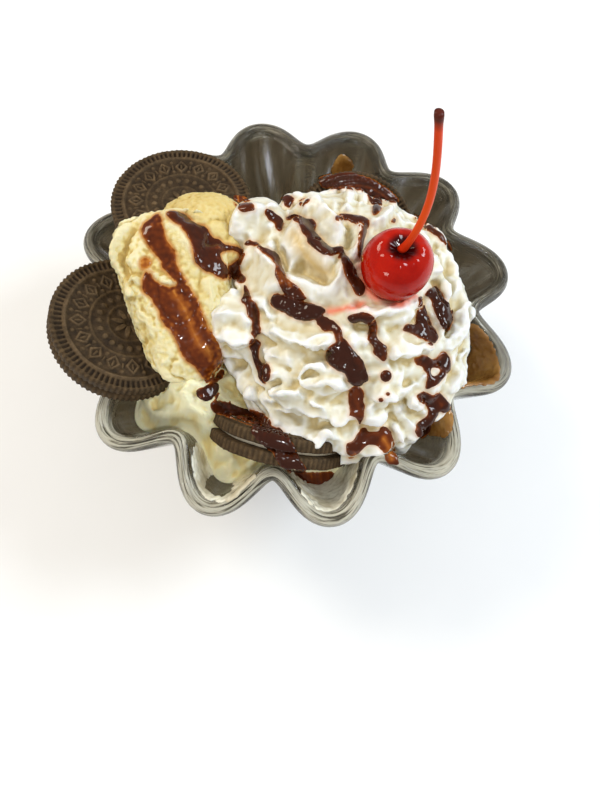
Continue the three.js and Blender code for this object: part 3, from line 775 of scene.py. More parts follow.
# Crests in the cream, as routes in pixels of the photograph: height in millimetres, then the
# widths in pixels of their left and right flanks, looking along the route.
CRESTS = {
    "left_blade": ([(245, 243), (256, 248), (266, 256), (276, 267), (281, 280), (283, 292)], 5.0, 7, 26),
    "middle_blade": ([(291, 220), (301, 228), (313, 243), (326, 256), (336, 262)], 4.2, 8, 32),
    "bright_blade": (
        [(299, 214), (307, 205), (317, 202), (324, 210), (334, 221), (342, 233), (343, 247)], 5.4, 7, 20),
    "back_dome": ([(289, 197), (301, 190), (317, 187), (330, 185), (341, 194)], 4.0, 8, 18),
    "back_fold_1": ([(334, 192), (336, 202), (334, 214)], 1.8, 5, 4),
    "back_blade": ([(345, 190), (348, 202), (347, 214)], 3.6, 9, 6),
    "back_fold_2": ([(361, 188), (362, 202), (360, 212)], 2.2, 5, 5),
    "upper_left_edge": (
        [(230, 242), (235, 228), (241, 214), (250, 213), (259, 209), (265, 212)], 3.8, 8, 20),
    "upper_left_tip": ([(265, 208), (269, 203), (274, 208)], 2.0, 5, 6),
    "upper_left_fold": ([(243, 226), (251, 233), (255, 246)], 1.6, 7, 5),
    "upper_left_face": ([(268, 222), (271, 238), (270, 252)], 2.2, 12, 7),
    "little_peak": ([(285, 206), (289, 212), (288, 218)], 2.2, 6, 6),
    "trough_lip": (
        [(283, 272), (294, 281), (312, 286), (328, 288), (337, 282), (341, 270), (349, 255)], 3.8, 6, 18),
    "centre_spike": ([(358, 225), (360, 236), (355, 249), (352, 262)], 3.8, 6, 7),
    "right_blade": ([(369, 226), (383, 219), (392, 206), (397, 201)], 4.8, 7, 8),
    "behind_cherry": ([(397, 205), (397, 216), (405, 223), (418, 230)], 2.6, 8, 5),
    "outer_right": (
        [(401, 195), (420, 199), (436, 206), (447, 225), (454, 246), (463, 266), (472, 290)], 4.0, 6, 14),
    "inner_right": ([(423, 229), (436, 233), (447, 241), (454, 254), (459, 268), (463, 286)], 3.6, 6, 18),
    "right_lump_1": ([(436, 250), (442, 262), (438, 274)], 2.4, 8, 8),
    "right_lump_2": ([(448, 276), (455, 288), (450, 300)], 2.6, 8, 8),
    "right_edge": ([(473, 303), (466, 316), (459, 331), (447, 343), (438, 352)], 3.6, 10, 10),
    "right_edge_low": ([(463, 345), (455, 363), (457, 378), (447, 392)], 3.0, 9, 7),
    "left_bulge": ([(214, 318), (226, 315), (241, 318), (252, 328)], 3.2, 10, 10),
    "left_bulge_low": ([(216, 332), (228, 340), (243, 342), (258, 336)], 2.8, 12, 4),
    "left_tuft": ([(228, 296), (236, 287), (242, 283)], 2.6, 6, 7),
    "upper_ruffle": ([(262, 329), (283, 339), (308, 346), (322, 345), (334, 339)], 3.8, 16, 5),
    "left_shoulder": ([(246, 302), (262, 300), (272, 312), (271, 322)], 2.4, 8, 8),
    "cherry_shelf": ([(345, 309), (362, 316), (384, 314), (404, 308), (420, 300)], 3.6, 12, 8),
    "shelf_bulge": ([(378, 326), (395, 322), (412, 312)], 2.6, 9, 8),
    "fork_right": ([(388, 353), (405, 354), (430, 352)], 3.8, 18, 4),
    "fork_left": ([(350, 345), (358, 335), (368, 342)], 2.4, 7, 7),
    "second_ruffle": ([(262, 378), (278, 373), (286, 380), (299, 379), (310, 366), (324, 372)], 3.0, 12, 5),
    "pale_slope": ([(268, 352), (288, 358), (306, 356)], 2.0, 9, 9),
    "third_ruffle": ([(246, 390), (256, 402), (264, 414)], 3.0, 8, 6),
    "low_edge": (
        [(262, 420), (271, 427), (284, 434), (300, 441), (316, 443), (330, 437), (342, 436)], 4.2, 16, 6),
    "low_left_lobe": ([(262, 404), (276, 394), (296, 392), (308, 398)], 3.0, 14, 14),
    "low_fold_1": ([(272, 412), (290, 409), (305, 418)], 2.4, 7, 6),
    "low_fold_2": ([(308, 398), (322, 403), (330, 416)], 2.4, 6, 7),
    "low_fold_3": ([(316, 424), (330, 418), (346, 426)], 2.4, 7, 6),
    "low_fold_4": ([(298, 378), (312, 386), (330, 382), (344, 388)], 2.2, 7, 6),
    "right_low_ruffle": ([(366, 403), (381, 396), (400, 396), (417, 385), (426, 372)], 3.2, 16, 5),
    "right_low_edge": ([(366, 410), (376, 403), (386, 407)], 2.0, 5, 6),
    "bottom_right_lobe": ([(412, 448), (414, 430), (405, 414), (392, 404)], 3.0, 10, 8),
    "bottom_right_fold": ([(432, 418), (420, 410), (412, 398)], 3.0, 7, 8),
    "bottom_tip": ([(402, 450), (398, 434), (392, 422)], 2.4, 6, 7),
}
# Hollows between them, in the same form with a height below zero.
HOLLOWS = {
    "trough": ([(294, 262), (306, 272), (322, 280), (330, 279)], -5.2, 11, 8),
    "behind_blade": ([(272, 236), (278, 250), (284, 264), (287, 272)], -3.6, 5, 5),
    "beside_spike": ([(346, 222), (347, 240), (345, 250)], -3.0, 6, 5),
    "under_spike": ([(349, 262), (354, 280)], -2.4, 5, 5),
    "under_upper_ruffle": ([(260, 336), (283, 348), (308, 354), (334, 349)], -3.0, 4, 9),
    "under_second_ruffle": ([(262, 386), (280, 382), (300, 386)], -2.4, 4, 7),
    "under_shelf": ([(352, 324), (375, 326), (402, 322)], -2.4, 4, 7),
    "under_fork": ([(388, 360), (408, 361), (428, 359)], -3.0, 4, 8),
    "under_low_ruffle": ([(372, 410), (392, 406), (412, 398)], -2.8, 4, 7),
    "right_groove": ([(412, 214), (430, 225), (441, 236), (451, 250)], -3.4, 5, 4),
    "right_gap": ([(424, 296), (430, 314), (438, 338)], -3.6, 6, 5),
    "right_gap_2": ([(433, 276), (440, 292), (448, 318)], -3.0, 4, 4),
    "left_dip": ([(222, 344), (232, 356), (240, 372)], -3.4, 9, 9),
    "beads_dip": ([(252, 338), (260, 358), (262, 380)], -1.8, 5, 5),
}
# How sharply a crest and a hollow fall off to their sides.
CREST_POWER = 1.1
HOLLOW_POWER = 1.7

# The same for the front scoop, with its folded top left corner and its torn face.
SCOOP_FOLDS = {
    "corner_fold": ([(116, 282), (114, 262), (118, 240), (124, 224), (131, 216), (139, 220)], 3.0, 12, 9),
    "second_fold": ([(132, 302), (129, 288), (132, 280), (140, 278)], 2.4, 7, 9),
    "white_patch": ([(146, 271), (156, 279), (170, 284), (177, 281)], 1.6, 6, 6),
    "inner_edge": ([(162, 212), (176, 224), (188, 244), (196, 262), (208, 276)], 1.6, 12, 14),
    "right_shoulder": ([(208, 276), (212, 292), (214, 310)], 1.4, 10, 12),
    "low_edge": ([(147, 373), (160, 378), (180, 384), (203, 386)], 1.6, 12, 5),
}
SCOOP_CREASES = {
    "under_corner": ([(139, 222), (130, 236), (123, 252), (124, 268), (130, 280), (124, 292)], -1.7, 4, 5),
    "across": ([(124, 266), (134, 273), (142, 277)], -1.6, 4, 3),
    "beside_sauce": ([(150, 240), (146, 258), (150, 268)], -1.0, 5, 5),
    "low_left": ([(140, 322), (150, 346), (152, 372)], -0.9, 5, 5),
    "upper_right": ([(182, 202), (198, 212), (213, 228), (219, 250)], -4.0, 13, 15),
}


def press_strokes(piece, raised, sunk):
    """Raises and sinks a skin along routes drawn in pixels, where it faces the camera."""
    place = vertices_of(piece)
    normal = normals_of(piece)
    to_camera = CAMERA_PLACE - place
    to_camera /= np.linalg.norm(to_camera, axis=1, keepdims=True)
    facing = smoothstep(0.08, 0.45, np.sum(normal * to_camera, axis=1))
    waver = np.stack([rough_noise(place, 8, 2, 40), rough_noise(place, 8, 2, 41)], axis=1)
    pixels = to_pixel(place) + 3.0 * waver
    up = np.zeros(len(place))
    down = np.zeros(len(place))
    uneven = 1 + 0.45 * rough_noise(place, 7, 2, 44)
    for stroke in raised.values():
        up = np.maximum(up, stroke_relief(pixels, *stroke) * uneven)
    for stroke in sunk.values():
        down = np.minimum(down, stroke_relief(pixels, *stroke))
    way = 0.5 * normal + 0.5 * to_camera
    way /= np.linalg.norm(way, axis=1, keepdims=True)
    move_vertices(piece, place + way * ((up + down) * facing)[:, None])


def stroke_relief(pixels, route, height, left, right):
    """Height that a ridge along a pixel route adds at each pixel place."""
    path = smooth_path(route, 3)
    relief = np.zeros(len(pixels))
    reach = 2.5 * max(left, right)
    near = np.all((pixels > path.min(axis=0) - reach) & (pixels < path.max(axis=0) + reach), axis=1)
    spots = pixels[near]
    if not len(spots):
        return relief
    best = np.full(len(spots), np.inf)
    side = np.zeros(len(spots))
    along = np.zeros(len(spots))
    for i, (start, end) in enumerate(zip(path[:-1], path[1:])):
        run = end - start
        t = np.clip((spots - start) @ run / (run @ run), 0, 1)
        away = spots - start - t[:, None] * run
        apart = np.hypot(*away.T)
        closer = apart < best
        best = np.where(closer, apart, best)
        side = np.where(closer, run[0] * away[:, 1] - run[1] * away[:, 0], side)
        along = np.where(closer, (i + t) / (len(path) - 1), along)
    width = np.where(side < 0, left, right)
    ends = smoothstep(-0.05, 0.15, along) * smoothstep(1.05, 0.85, along)
    if height > 0:
        flank = np.clip(1 - best / width, 0, 1) ** CREST_POWER
    else:
        flank = np.exp(-(best / width) ** HOLLOW_POWER)
    relief[near] = height * ends * flank
    return relief


def ruffle_cream(piece):
    """Wound folds round the mound and sharp creases between shallow dents, calmer on the top."""
    place = vertices_of(piece)
    normal = normals_of(piece)
    away = place - (*CREAM_CENTRE, 0)
    angle = np.arctan2(away[:, 1], away[:, 0])
    ring = np.hypot(away[:, 1], away[:, 0])
    wound = np.stack([np.cos(angle) * 14, np.sin(angle) * 14, place[:, 2] * 1.3 + ring * 0.6], axis=1)
    sway = np.stack([rough_noise(place, 9, 1, seed) for seed in (61, 62, 63)], axis=1)
    bent = place + 2.6 * sway
    broad = ridges(wound + 40, 12, 60) ** 4
    folds = ridges(wound + 2.2 * sway, 6.2, 66) ** 2
    dents = ridges(bent, 7.5, 64)
    creases = ridges(bent + 30, 3.6, 65)
    crinkles = ridges(bent * 1.1, 2.1, 67)
    pixels = to_pixel(place)
    calm = 1 - 0.7 * smoothstep(83, 88, place[:, 2]) * smoothstep(310, 290, pixels[:, 1])
    move = calm * (0.5 * broad + 1.3 * folds + 1.0 * dents + 0.8 * creases - 1.9) + 0.42 * (crinkles - 0.6)
    move_vertices(piece, place + normal * move[:, None])


def make_cream(cutters):
    lumps = [lump_mesh(centre, half) for centre, half in CREAM_LUMPS]
    vertices, faces = join_meshes([rope_mesh(), crown_mesh(), core_mesh(), *lumps])
    piece = mesh_object("whipped_cream_swirl", vertices, faces)
    remesh(piece, CREAM_VOXELS[0], smooth=8)
    press_strokes(piece, CRESTS, HOLLOWS)
    ruffle_cream(piece)
    remesh(piece, CREAM_VOXELS[1], smooth=2)
    cut_with(piece, *cutters)
    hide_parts("whipped_cream")
    dress(piece, "cream")
    mark_hollows(piece, *CREAM_HOLLOWS)
    mark_stain_and_trough_shade(piece)
    return piece


def smoothed(piece, place, rounds):
    """Each vertex's place after its neighbours have been averaged a number of times."""
    a, b = edges_of(piece).T
    count = len(place)
    degree = np.bincount(a, minlength=count) + np.bincount(b, minlength=count)
    smooth = place.copy()
    for _ in range(rounds):
        for axis in range(3):
            value = smooth[:, axis]
            total = np.bincount(a, weights=value[b], minlength=count)
            total += np.bincount(b, weights=value[a], minlength=count)
            smooth[:, axis] = total / degree
    return smooth


def mark_hollows(piece, fine, coarse):
    """Marks how hollow each place is, from 0 on a crest to 1 in a pit, by how far averaging moves it; the
    colours use it for painted shade.
    """
    place = vertices_of(piece)
    normal = normals_of(piece)
    near = smoothed(piece, place, 12)
    far = smoothed(piece, near, 110)
    small = np.sum((near - place) * normal, axis=1)
    large = np.sum((far - place) * normal, axis=1)
    set_attribute(piece, "hollow", np.clip(0.5 + small / fine + large / coarse, 0, 1))


# Where juice has run from the cherry: a route in pixels, how red, and the two widths.
CHERRY_RUN = ([(324, 312), (336, 311), (348, 308), (358, 306), (368, 303)], 1.0, 7, 5)

# Painted shade in the trough on the top of the cream, yellowish: a route in pixels, how deep its colour is,
# and the two widths.
TROUGH_SHADE = ([(290, 226), (298, 242), (308, 258), (320, 270), (334, 276)], 1.0, 16, 13)


def mark_stain_and_trough_shade(piece):
    """Marks how near the cherry or its juice each place is, and the trough's yellowish painted shade."""
    place = vertices_of(piece)
    apart = np.linalg.norm(place - CHERRY_CENTRE, axis=1) + 0.9 * rough_noise(place, 4, 2, seed=80)
    ring = smoothstep(CHERRY_RADIUS + 2.6, CHERRY_RADIUS + 0.2, apart)
    pixels = to_pixel(place) + 1.5 * rough_noise(place, 3, 2, seed=81)[:, None]
    set_attribute(piece, "stain", np.maximum(ring, stroke_relief(pixels, *CHERRY_RUN)))
    # The trough's painted shade.
    set_attribute(piece, "tan", stroke_relief(pixels, *TROUGH_SHADE))


# Cherry and stem

def make_cherry():
    angle = full_turn(128)
    rings = []
    for polar in np.pi * np.arange(1, 80) / 80:
        r = CHERRY_RADIUS * math.sin(polar)
        upper = polar > math.pi / 2
        dimple = upper * DIMPLE_DEPTH * math.exp(-((r / DIMPLE_RADIUS) ** 2))
        pleat = 1 + upper * 0.03 * np.sin(7 * angle + 1) * math.exp(-((r - 5) / 3) ** 2)
        lump = 1 + 0.018 * np.sin(2 * angle + 0.5) + 0.012 * np.sin(3 * angle)
        rings.append(turned(angle, r * lump, -CHERRY_RADIUS * math.cos(polar) * pleat - dimple))
    top = CHERRY_RADIUS - DIMPLE_DEPTH
    vertices, faces = loft(rings, (0, 0, -CHERRY_RADIUS), (0, 0, top))
    piece = mesh_object("glossy_cherry", vertices + CHERRY_CENTRE, faces)
    # Painted shade in the dimple round the stalk.
    above = smoothstep(0, 3, vertices[:, 2])
    set_attribute(piece, "pit", above * smoothstep(5.0, 2.8, np.hypot(vertices[:, 0], vertices[:, 1])))
    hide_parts("cherry")
    dress(piece, "cherry")
    return piece


def make_stem():
    angle = full_turn(24)
    foot = CHERRY_RADIUS - STEM_SINK - STEM_INSET
    rings = []
    for t in np.linspace(0, 1, 60):
        bow = STEM_BULGE * math.sin(math.pi * t ** 0.8) - 1.8 * t
        centre = CHERRY_CENTRE + (bow, 0.6 * math.sin(math.pi * t), foot + (STEM_HEIGHT + STEM_INSET) * t)
        flare = 0.35 * math.exp(-t / 0.04)
        knob = 0.15 * math.exp(-((t - 0.98) / 0.03) ** 2)
        radius = STEM_RADIUS + flare - 0.12 * t + knob
        rings.append(turned(angle, radius, 0.0) * (1, 1, 0) + centre)
    piece = mesh_object("cherry_stalk", *loft(rings, rings[0].mean(axis=0), rings[-1].mean(axis=0)))
    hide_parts("cherry_stem")
    dress(piece, "stem")
    return piece


# Chocolate sauce

# Pools and strands of sauce: thickness in millimetres, and an outline in pixels.
POOLS = {
    "back_left": (0.6, [(280, 199), (284, 195), (291, 195), (296, 200), (291, 204), (290, 209),
        (285, 207)]),
    "back_left_2": (0.6, [(298, 202), (301, 199), (308, 198), (312, 200), (308, 203), (303, 207),
        (299, 206)]),
    "left_top": (0.7, [(264, 209), (271, 209), (276, 215), (284, 219), (284, 226), (280, 233), (277, 230),
        (275, 224), (270, 221), (265, 215)]),
    "middle": (0.8, [(285, 219), (290, 214), (300, 215), (306, 219), (313, 218), (318, 225), (314, 232),
        (321, 237), (325, 244), (330, 248), (339, 246), (345, 249), (341, 252), (334, 256), (325, 256),
        (317, 251), (308, 244), (307, 237), (301, 232), (299, 223), (290, 220)]),
    "middle_low": (0.8, [(338, 249), (344, 250), (347, 258), (354, 264), (359, 278), (367, 288),
        (363, 296), (355, 296), (353, 288), (345, 278), (342, 264)]),
    "left_fin": (0.6, [(243, 244), (250, 239), (257, 242), (262, 247), (269, 249), (276, 252), (281, 260),
        (281, 268), (285, 273), (288, 279), (299, 287), (304, 294), (308, 300), (295, 300), (282, 293),
        (281, 288), (277, 281), (275, 273), (276, 266), (271, 258), (266, 256), (259, 249), (252, 245),
        (246, 246)]),
    "centre_thick": (1.1, [(271, 297), (275, 293), (283, 295), (294, 298), (305, 302), (321, 306),
        (327, 311), (324, 314), (317, 319), (310, 321), (301, 321), (292, 318), (282, 312), (275, 309),
        (270, 304)]),
    "centre_run": (0.7, [(314, 318), (321, 314), (337, 323), (342, 328), (344, 340), (337, 344),
        (334, 336), (333, 330), (325, 332), (320, 328)]),
    "centre_fork": (1.2, [(335, 343), (340, 338), (345, 338), (349, 344), (358, 356), (364, 363),
        (367, 373), (370, 380), (363, 382), (356, 386), (349, 384), (345, 373), (341, 372), (332, 368),
        (325, 360), (327, 347)]),
    "lower_run": (0.5, [(348, 388), (356, 386), (361, 387), (365, 392), (363, 399), (365, 407),
        (364, 419), (359, 426), (357, 418), (348, 416), (350, 413), (348, 402)]),
    "under_cherry": (0.7, [(345, 316), (359, 312), (373, 314), (377, 323), (378, 330), (376, 337),
        (381, 342), (388, 347), (385, 351), (388, 356), (385, 363), (381, 360), (372, 353), (374, 347),
        (367, 341), (368, 335), (369, 323), (359, 321), (351, 324)]),
    "left_run": (0.7, [(243, 283), (249, 288), (251, 297), (257, 305), (261, 316), (259, 323), (262, 331),
        (259, 336), (251, 329), (253, 323), (246, 314), (246, 305), (240, 302), (244, 294)]),
    "left_beads": (0.8, [(248, 341), (253, 338), (260, 340), (261, 347), (258, 351), (259, 358),
        (262, 365), (266, 362), (271, 367), (270, 379), (265, 385), (259, 380), (259, 372), (255, 365),
        (252, 359), (252, 351), (249, 347)]),
    "back_top": (0.8, [(366, 188), (369, 184), (377, 189), (382, 196), (383, 207), (378, 215), (373, 215),
        (372, 205), (367, 197)]),
    "above_cherry": (0.6, [(335, 216), (342, 213), (352, 214), (364, 217), (370, 220), (370, 226),
        (364, 233), (358, 224), (351, 223), (346, 219), (341, 222), (335, 221)]),
    "left_of_cherry": (0.6, [(361, 228), (368, 229), (364, 240), (362, 250), (364, 264), (358, 258),
        (357, 240)]),
    "right_top": (0.6, [(412, 213), (418, 215), (426, 221), (436, 229), (445, 237), (454, 252),
        (450, 251), (440, 239), (431, 233), (424, 229), (418, 221)]),
    "beside_stem": (0.5, [(389, 221), (394, 217), (397, 219), (395, 224)]),
    "right_of_cherry": (1.0, [(423, 295), (431, 286), (438, 287), (443, 294), (448, 304), (453, 315),
        (453, 325), (447, 333), (442, 327), (436, 316), (433, 307), (430, 297)]),
    "right_inner": (0.7, [(417, 297), (422, 296), (423, 306), (428, 314), (432, 325), (439, 335),
        (437, 341), (432, 347), (426, 342), (418, 338), (411, 333), (400, 331), (408, 322), (413, 326),
        (417, 321), (415, 315), (419, 306)]),
    "right_patch": (0.7, [(413, 360), (416, 355), (426, 354), (432, 360), (436, 358), (438, 354),
        (446, 350), (451, 360), (451, 369), (443, 380), (434, 387), (425, 390), (427, 381), (427, 374),
        (422, 366), (416, 365)]),
    "low_right": (0.8, [(415, 397), (419, 393), (425, 391), (433, 396), (439, 391), (444, 397),
        (450, 404), (451, 411), (444, 413), (438, 411), (437, 416), (433, 421), (432, 430), (427, 436),
        (420, 440), (415, 434), (415, 427), (419, 421), (427, 417), (429, 408), (422, 404)]),
    "front_right": (0.5, [(345, 443), (354, 441), (357, 433), (362, 427), (367, 427), (367, 432),
        (380, 432), (379, 427), (384, 425), (390, 430), (392, 436), (395, 445), (397, 456), (401, 466),
        (386, 464), (384, 454), (380, 448), (374, 445), (367, 445), (363, 449), (357, 456), (351, 460),
        (347, 458), (347, 450)]),
    "front_upper": (0.34, [(151, 218), (157, 213), (161, 214), (162, 224), (165, 231), (166, 240),
        (172, 246), (177, 255), (176, 262), (178, 269), (184, 276), (188, 284), (178, 286), (172, 278),
        (167, 272), (161, 267), (161, 260), (156, 256), (151, 249), (146, 242), (141, 236), (142, 224)]),
    "front_lower": (0.3, [(142, 276), (147, 270), (152, 276), (157, 283), (168, 287), (176, 286),
        (180, 283), (189, 285), (196, 297), (201, 308), (208, 327), (217, 340), (222, 350), (224, 365),
        (226, 373), (219, 383), (211, 386), (206, 384), (200, 374), (193, 365), (186, 362), (180, 352),
        (177, 343), (173, 335), (166, 326), (160, 320), (159, 311), (154, 304), (149, 295), (142, 293)]),
    "front_spot": (0.16, [(139, 263), (144, 256), (151, 260), (149, 268), (142, 271)]),
    "scoop_drop": (1.0, [(195, 391), (199, 388), (207, 386), (216, 382), (219, 388), (217, 394),
        (210, 400), (205, 402), (199, 398)]),
    "scoop_line": (0.5, [(214, 398), (221, 390), (217, 400), (212, 405)]),
    "rear": (0.6, [(165, 212), (176, 211), (184, 214), (190, 219), (197, 225), (206, 226), (210, 233),
        (213, 238), (219, 239), (225, 245), (235, 245), (245, 251), (245, 257), (240, 265), (241, 273),
        (247, 278), (245, 284), (238, 283), (233, 279), (224, 279), (216, 277), (212, 272), (205, 272),
        (198, 266), (194, 260), (193, 248), (188, 237), (182, 228), (175, 223), (169, 219)]),
    "rear_edge": (0.5, [(232, 197), (236, 194), (244, 196), (252, 202), (257, 209), (250, 212),
        (240, 213), (236, 206)]),
    "cookie_top": (0.7, [(209, 405), (212, 402), (218, 400), (231, 403), (241, 408), (254, 410),
        (266, 414), (274, 424), (262, 428), (246, 424), (234, 419), (222, 416), (212, 412)]),
    "over_cookie": (1.0, [(252, 423), (264, 423), (279, 428), (289, 437), (296, 449), (302, 463),
        (308, 472), (290, 473), (281, 468), (275, 458), (271, 450), (262, 444), (252, 436)]),
    "front_pool": (0.3, [(290, 470), (304, 471), (318, 472), (330, 470), (337, 473), (332, 481),
        (320, 486), (308, 485), (297, 479)]),
    "rear_cookie": (0.8, [(314, 180), (330, 173), (350, 172), (372, 178), (391, 190), (401, 202),
        (392, 204), (376, 195), (352, 189), (325, 190)]),
}
# Drops of sauce: the middle of each and its half width, in pixels.
DROPS = {"drop_1": ((386, 376), 6.4), "drop_2": ((381, 400), 3.0), "drop_3": ((388, 394), 2.6),
         "bead_1": ((230, 402), 1.5), "bead_2": ((254, 334), 4.0), "bead_3": ((340, 257), 3.0)}
# Where the sauce lies thin and amber: routes in pixels, how amber, and the two widths.
THIN_PLACES = {
    "scoop_middle": (
        [(166, 292), (176, 297), (184, 308), (190, 322), (198, 342), (208, 352), (213, 366)], 0.85, 9, 9),
    "scoop_gap_1": ([(174, 290), (177, 297)], 1.0, 5, 5),
    "scoop_gap_2": ([(206, 345), (210, 353)], 1.0, 5, 6),
    "scoop_right": ([(200, 306), (208, 330), (218, 350), (222, 368)], 0.6, 6, 6),
    "upper_left": ([(141, 226), (144, 240), (154, 256), (162, 268)], 0.6, 5, 4),
    "upper_right": ([(163, 226), (168, 244), (178, 262), (188, 284)], 0.55, 4, 5),
    "spot": ([(141, 262), (150, 262)], 0.6, 8, 8),
    "fin_low": ([(279, 268), (284, 278), (292, 288)], 0.75, 7, 7),
    "run_end": ([(338, 332), (341, 342)], 0.8, 6, 6),
    "fork_right": ([(356, 356), (364, 370)], 0.4, 5, 8),
    "lower_run": ([(350, 390), (356, 400), (360, 418)], 0.55, 9, 9),
    "under_cherry": ([(371, 325), (373, 332)], 0.8, 8, 8),
    "under_cherry_2": ([(382, 356), (386, 362)], 0.7, 6, 6),
    "patch_left": ([(414, 360), (422, 362)], 0.65, 7, 7),
    "hook_top": ([(442, 352), (440, 362)], 0.6, 6, 6),
    "front_right": ([(381, 436), (388, 446), (393, 464)], 0.95, 11, 11),
    "front_left": ([(348, 458), (356, 452)], 0.9, 5, 5),
    "low_right": ([(436, 398), (444, 408)], 0.7, 9, 9),
    "rear_edge": ([(240, 198), (248, 206)], 0.5, 6, 6),
    "left_run": ([(246, 300), (254, 310), (258, 322)], 0.35, 4, 4),
    "drop": ([(383, 372), (386, 374)], 0.5, 4, 4),
}


def ray_hit(tree, pixel):
    """Where the ray through a pixel first meets a surface, and the surface's normal there."""
    place, normal, _, _ = tree.ray_cast(Vector(CAMERA_PLACE), Vector(pixel_ray(pixel)))
    if place is None:
        return None
    return np.array(place), np.array(normal)


def surface_tree(pieces):
    """All the pieces' faces, for rays and nearest places."""
    parts = []
    for piece in pieces:
        faces = [tuple(polygon.vertices) for polygon in piece.data.polygons]
        parts.append((vertices_of(piece), faces))
    vertices, faces = join_meshes(parts)
    return BVHTree.FromPolygons(vertices.tolist(), faces)


BLOB_UNIT = ball_mesh(8, 12)
SOAK_REACH = 1.1
# Pools reach a little beyond their outlines, in pixels. The steps are in pixels too.
SPREAD = 1.0
FILM_STEP = 1.8
POOL_STEP = 0.75
# Neighbours in a pool's grid that are further apart, in millimetres, are on different surfaces.
POOL_JOIN = 1.4
POOL_TEAR = 1.6
POOL_SINK = 0.7
POOL_SWELL = 1.25
FILM_BLOB = 1.1
FILM_THICKNESS = 0.3
DROP_FLATNESS = 0.55


def blob(place, normal, radius, flat):
    """A flattened ball that lies on a surface."""
    vertices, faces = BLOB_UNIT
    turn = frame_along(normal)
    return (vertices * (radius, radius, radius * flat)) @ turn.T + place, faces


def pixels_per_mm(place):
    return FOCAL_PIXELS / ((place - CAMERA_PLACE) @ CAMERA_FORWARD)


def rounded(outline):
    """A closed outline with its corners cut off twice."""
    points = np.asarray(outline, float)
    for _ in range(2):
        after = np.roll(points, -1, axis=0)
        points = np.stack([0.75 * points + 0.25 * after, 0.25 * points + 0.75 * after], axis=1).reshape(-1, 2)
    return points


def depth_inside(spots, outline):
    """How far inside a closed outline each pixel place is, negative outside it."""
    start = rounded(outline)
    run = np.roll(start, -1, axis=0) - start
    away = spots[:, None] - start
    t = np.clip(np.sum(away * run, axis=2) / np.sum(run * run, axis=1), 0, 1)
    apart = np.min(np.linalg.norm(away - t[..., None] * run, axis=2), axis=1)
    beyond = spots[:, None, 1] < start[:, 1]
    crossed = beyond != np.roll(beyond, -1, axis=1)
    rise = np.where(run[:, 1] == 0, 1, run[:, 1])
    right = away[..., 0] < away[..., 1] * run[:, 0] / rise
    inside = np.sum(crossed & right, axis=1) % 2 == 1
    return np.where(inside, apart, -apart)


def depth_in_film(spots, name, outline):
    """The same for a named outline, less its bare patch."""
    depth = depth_inside(spots, outline)
    if name in BARE_PATCHES:
        depth = np.minimum(depth, -depth_inside(spots, BARE_PATCHES[name]))
    return depth


# Thin films on the inside of the glass, as outlines in pixels.
MELT_FILMS = {
    "left_lobe": [(150, 392), (172, 388), (184, 422), (176, 430), (160, 427), (152, 414)],
    "lower_left_lobe": [(196, 440), (210, 434), (262, 458), (262, 470), (246, 484), (236, 496),
        (222, 503), (205, 498), (195, 480), (191, 460)],
    "front_lobe": [(286, 466), (344, 466), (362, 462), (352, 488), (340, 508), (322, 512), (306, 500),
        (296, 482)],
}
SAUCE_FILMS = {
    "right_lobe": [(456, 330), (474, 322), (492, 344), (500, 372), (494, 384), (470, 384), (456, 388),
        (452, 360)],
    "lower_right_lobe": [(420, 394), (436, 392), (448, 402), (452, 424), (446, 438), (438, 434),
        (424, 434), (414, 420)],
    "behind_scoop": [(232, 192), (244, 194), (256, 208), (256, 222), (238, 214)],
    "back_lobe": [(332, 175), (334, 163), (341, 155), (350, 159), (353, 168), (348, 174)],
}

# Bare patches inside some of the pools and films.
BARE_PATCHES = {
    "right_patch": [(433, 367), (438, 368), (441, 371), (435, 377), (431, 376), (430, 371)],
    "rear": [(219, 255), (224, 251), (233, 250), (240, 254), (238, 260), (233, 263), (228, 266),
        (223, 262)],
    "lower_left_lobe": [(203, 484), (208, 475), (222, 472), (233, 478), (235, 488), (224, 498),
        (210, 496)],
    "right_lobe": [(462, 340), (470, 342), (474, 352), (466, 362), (458, 362)],
}


def make_film(name, films, tree, material):
    rng = np.random.default_rng(len(films))
    blobs = []
    for patch_name, outline in films.items():
        low = np.min(outline, axis=0)
        high = np.max(outline, axis=0)
        grid = np.stack(np.meshgrid(*(np.arange(*ends, FILM_STEP) for ends in zip(low, high))), axis=-1)
        spots = grid.reshape(-1, 2) + rng.normal(size=(grid.size // 2, 2)) * 0.6
        for pixel in spots[depth_in_film(spots, patch_name, outline) > 0]:
            hit = ray_hit(tree, pixel)
            if hit:
                flat = FILM_THICKNESS * (1 + 0.35 * rng.normal())
                blobs.append(blob(*hit, FILM_BLOB, max(FILM_THICKNESS / 2, flat)))
    piece = mesh_object(name, *join_meshes(blobs))
    remesh(piece, FILM_VOXEL, smooth=3)
    dress(piece, material)
    return piece


def project_grid(tree, grid, wanted):
    """Where the rays through the wanted pixels meet the surface, its normals there, and which do."""
    place = np.zeros((*wanted.shape, 3))
    normal = np.zeros((*wanted.shape, 3))
    valid = np.zeros(wanted.shape, bool)
    for i, j in np.argwhere(wanted):
        hit = ray_hit(tree, grid[i, j])
        if hit:
            place[i, j], normal[i, j] = hit
            valid[i, j] = True
    return place, normal, valid


def smoothed_grid(place, valid):
    """A grid's places, averaged ten times with their neighbours on the same surface."""
    smooth = place.copy()
    for _ in range(10):
        total = smooth.copy()
        met = np.ones(valid.shape)
        for axis, shift in ((0, 1), (0, -1), (1, 1), (1, -1)):
            beside = np.roll(smooth, shift, axis=axis)
            close = np.linalg.norm(beside - smooth, axis=2) < POOL_JOIN
            joined = valid & np.roll(valid, shift, axis=axis) & close
            total += beside * joined[..., None]
            met += joined
        smooth = total / met[..., None]
    return smooth


